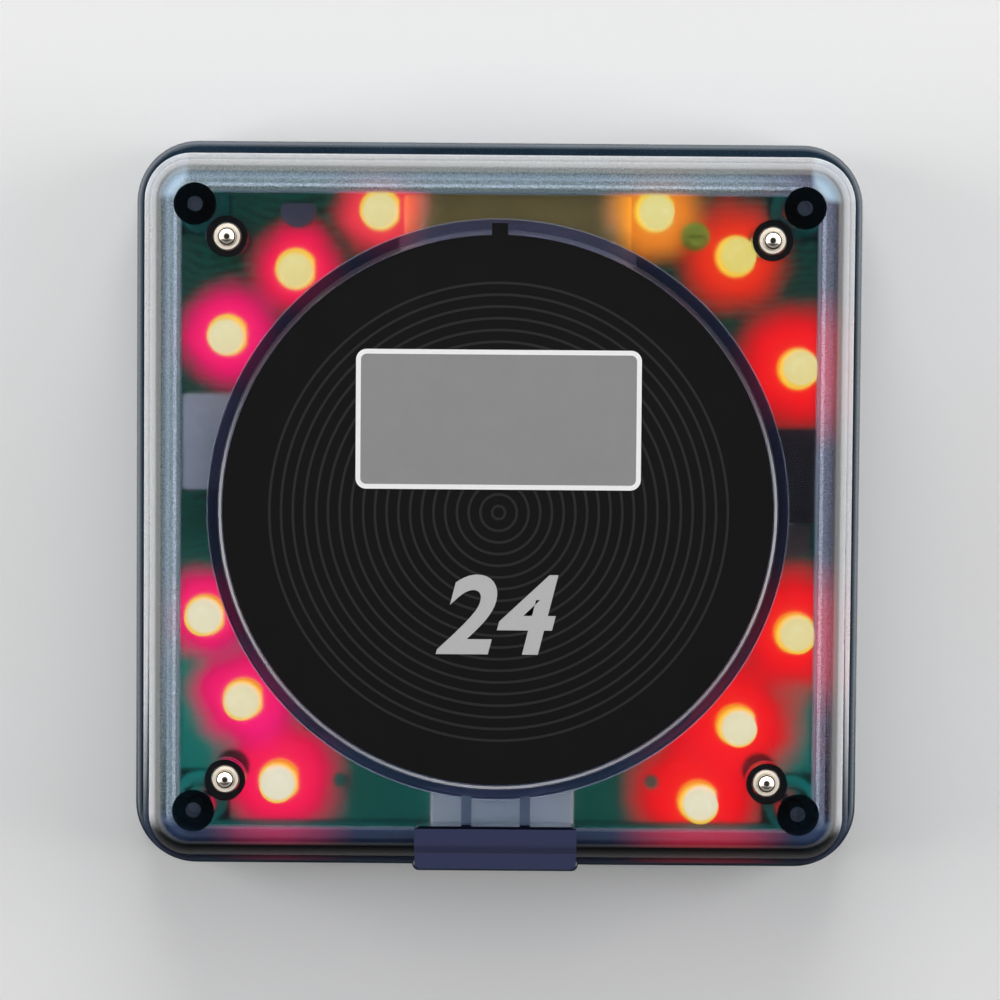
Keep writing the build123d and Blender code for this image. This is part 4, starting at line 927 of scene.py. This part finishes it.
class PAGER_OT_stage(bpy.types.Operator):
    """Set up the floor, the softboxes, the room light and the camera"""

    bl_idname = "pager.stage"
    bl_label = "Studio"

    def execute(self, context):
        look = context.scene.pager_stage
        scene = context.scene
        scene.view_settings.view_transform = "Standard"
        self.lay_floor(scene, look)
        self.light_room(scene, look)
        self.hang_softboxes(scene, look)
        self.set_camera(scene, look)
        return {"FINISHED"}

    def lay_floor(self, scene, look):
        """A pale floor. Polished surfaces see it brighter away from the pager, and dark in front of it."""
        card = Finish("studio floor", Roughness=0.8, Specular_IOR_Level=0.0)
        behind = card.span(card.axes(card.place())[1], BASE_LOW.y, BASE_LOW.y * 0.5, smooth=True)
        side, front, _ = card.axes(card.put("VectorMath", card.place((0, SHIFT_Y, 0)), operation="ABSOLUTE"))
        far = card.calc("MAXIMUM", side, front)
        clear_of_base = card.span(far, BASE_HIGH.x + 2 * MM, BASE_HIGH.x + 45 * MM, 0.1, 1.0)
        glossy = card.put("LightPath", out=3)
        gleam = card.times(behind, clear_of_base, glossy)
        cloth = card.blend(card.noise(60 * MM), look.floor_colour, dimmed(look.floor_colour, 0.985))
        in_front = card.times(card.rest(behind), glossy)
        card.link("Base Color", card.blend(in_front, cloth, tone(60, 64, 76)))
        camera = card.put("LightPath", out=0)
        seen = card.calc("MULTIPLY_ADD", camera, look.floor_paleness / look.floor_gleam, gleam)
        card.glow(card.blend(seen, (0, 0, 0), (1, 1, 1)), look.floor_gleam)
        mesh = bpy.data.meshes.new("studio_floor")
        half = look.floor_half
        mesh.from_pydata([(-half, -half, 0), (half, -half, 0), (half, half, 0), (-half, half, 0)], [], [(0, 1, 2, 3)])
        mesh.materials.append(card.material)
        floor = bpy.data.objects.new("studio_floor", mesh)
        scene.collection.objects.link(floor)

    def light_room(self, scene, look):
        """An even room, darker overhead, whose walls show brighter in polished surfaces on three sides."""
        world = bpy.data.worlds.new("studio room")
        world.use_nodes = True
        scene.world = world
        room = Wiring(world.node_tree)
        _, back, up = room.axes(room.put("TexCoord", out=0))
        even = room.times(
            room.span(up, 0.0, 1.0, look.room_level, 0.02, smooth=True),
            room.span(back, -0.6, 0.0, 0.35, 1.0, smooth=True),
        )
        walls = room.times(
            room.span(up, 0.5, 0.72, look.wall_gleam, 0.5 * look.wall_gleam, smooth=True),
            room.span(up, 0.88, 0.975, 1.0, 0.0, smooth=True),
            room.span(back, -0.5, -0.12, 0.0, 1.0, smooth=True),
        )
        camera = room.put("LightPath", out=0)
        glossy = room.put("LightPath", out=3)
        seen = room.calc("ADD", even, room.times(walls, glossy))
        strength = room.calc("ADD", room.times(seen, room.rest(camera)), room.times(camera, look.backdrop))
        background = world.node_tree.nodes["Background"]
        background.inputs["Color"].default_value = (1, 1, 1, 1)
        world.node_tree.links.new(strength, background.inputs["Strength"])

    def hang_softboxes(self, scene, look):
        """Three softboxes low round the sides, which polished surfaces don't show."""
        aim = Vector((0, SHIFT_Y, COVER_TOP))
        for name, spot, wide, long in (
            ("softbox_left", (-0.46, 0.03, 0.26), 0.16, 0.34),
            ("softbox_right", (0.46, 0.03, 0.26), 0.16, 0.34),
            ("softbox_back", (0.0, 0.47, 0.27), 0.16, 0.36),
        ):
            light = bpy.data.lights.new(name, "AREA")
            light.shape = "RECTANGLE"
            light.size = long
            light.size_y = wide
            light.energy = look.softbox_radiance * math.pi * wide * long
            lamp = bpy.data.objects.new(name, light)
            lamp.location = spot
            away = (Vector(spot) - aim).normalized()
            along = Vector((0, 0, 1)).cross(away).normalized()
            lamp.rotation_euler = Matrix((along, away.cross(along), away)).transposed().to_euler()
            lamp.visible_glossy = False
            scene.collection.objects.link(lamp)

    def set_camera(self, scene, look):
        """Over the face, a little behind its middle, and turned by a hair."""
        target = Vector((0.3 * MM, 1.16 * MM + SHIFT_Y, 12 * MM))
        forward = (target - READER).normalized()
        right = forward.cross(Vector((0, 1, 0))).normalized()
        upward = right.cross(forward)
        roll = math.radians(0.446)
        across = math.cos(roll) * right + math.sin(roll) * upward
        up = math.cos(roll) * upward - math.sin(roll) * right
        camera = bpy.data.cameras.new("studio_camera")
        camera.lens = look.lens
        camera.sensor_width = 36.0
        camera.clip_start = 0.01
        camera.clip_end = 20.0
        view = bpy.data.objects.new("studio_camera", camera)
        view.location = READER
        view.rotation_euler = Matrix((across, up, -forward)).transposed().to_euler()
        scene.collection.objects.link(view)
        scene.camera = view


OPERATORS = (
    PAGER_OT_housing,
    PAGER_OT_face,
    PAGER_OT_contacts,
    PAGER_OT_lamps,
    PAGER_OT_board,
    PAGER_OT_power,
    PAGER_OT_motor,
    PAGER_OT_stage,
)


class PAGER_PT_looks(bpy.types.Panel):
    """The pager's operators and settings"""

    bl_label = "Guest pager"
    bl_idname = "PAGER_PT_looks"
    bl_space_type = "VIEW_3D"
    bl_region_type = "UI"
    bl_category = "Guest pager"

    def draw(self, context):
        for operator in OPERATORS:
            self.layout.operator(operator.bl_idname)
        for name in GROUPS:
            box = self.layout.box()
            group = getattr(context.scene, name)
            for key in group.bl_rna.properties.keys():
                if key not in ("rna_type", "name"):
                    box.prop(group, key)


def register():
    for name, group in GROUPS.items():
        bpy.utils.register_class(group)
        setattr(bpy.types.Scene, name, PointerProperty(type=group))
    for operator in OPERATORS:
        bpy.utils.register_class(operator)
    bpy.utils.register_class(PAGER_PT_looks)


def unregister():
    bpy.utils.unregister_class(PAGER_PT_looks)
    for operator in reversed(OPERATORS):
        bpy.utils.unregister_class(operator)
    for name, group in reversed(GROUPS.items()):
        delattr(bpy.types.Scene, name)
        bpy.utils.unregister_class(group)


def main():
    register()
    for operator in OPERATORS:
        section, action = operator.bl_idname.split(".")
        getattr(getattr(bpy.ops, section), action)()


if __name__ == "__main__":
    main()
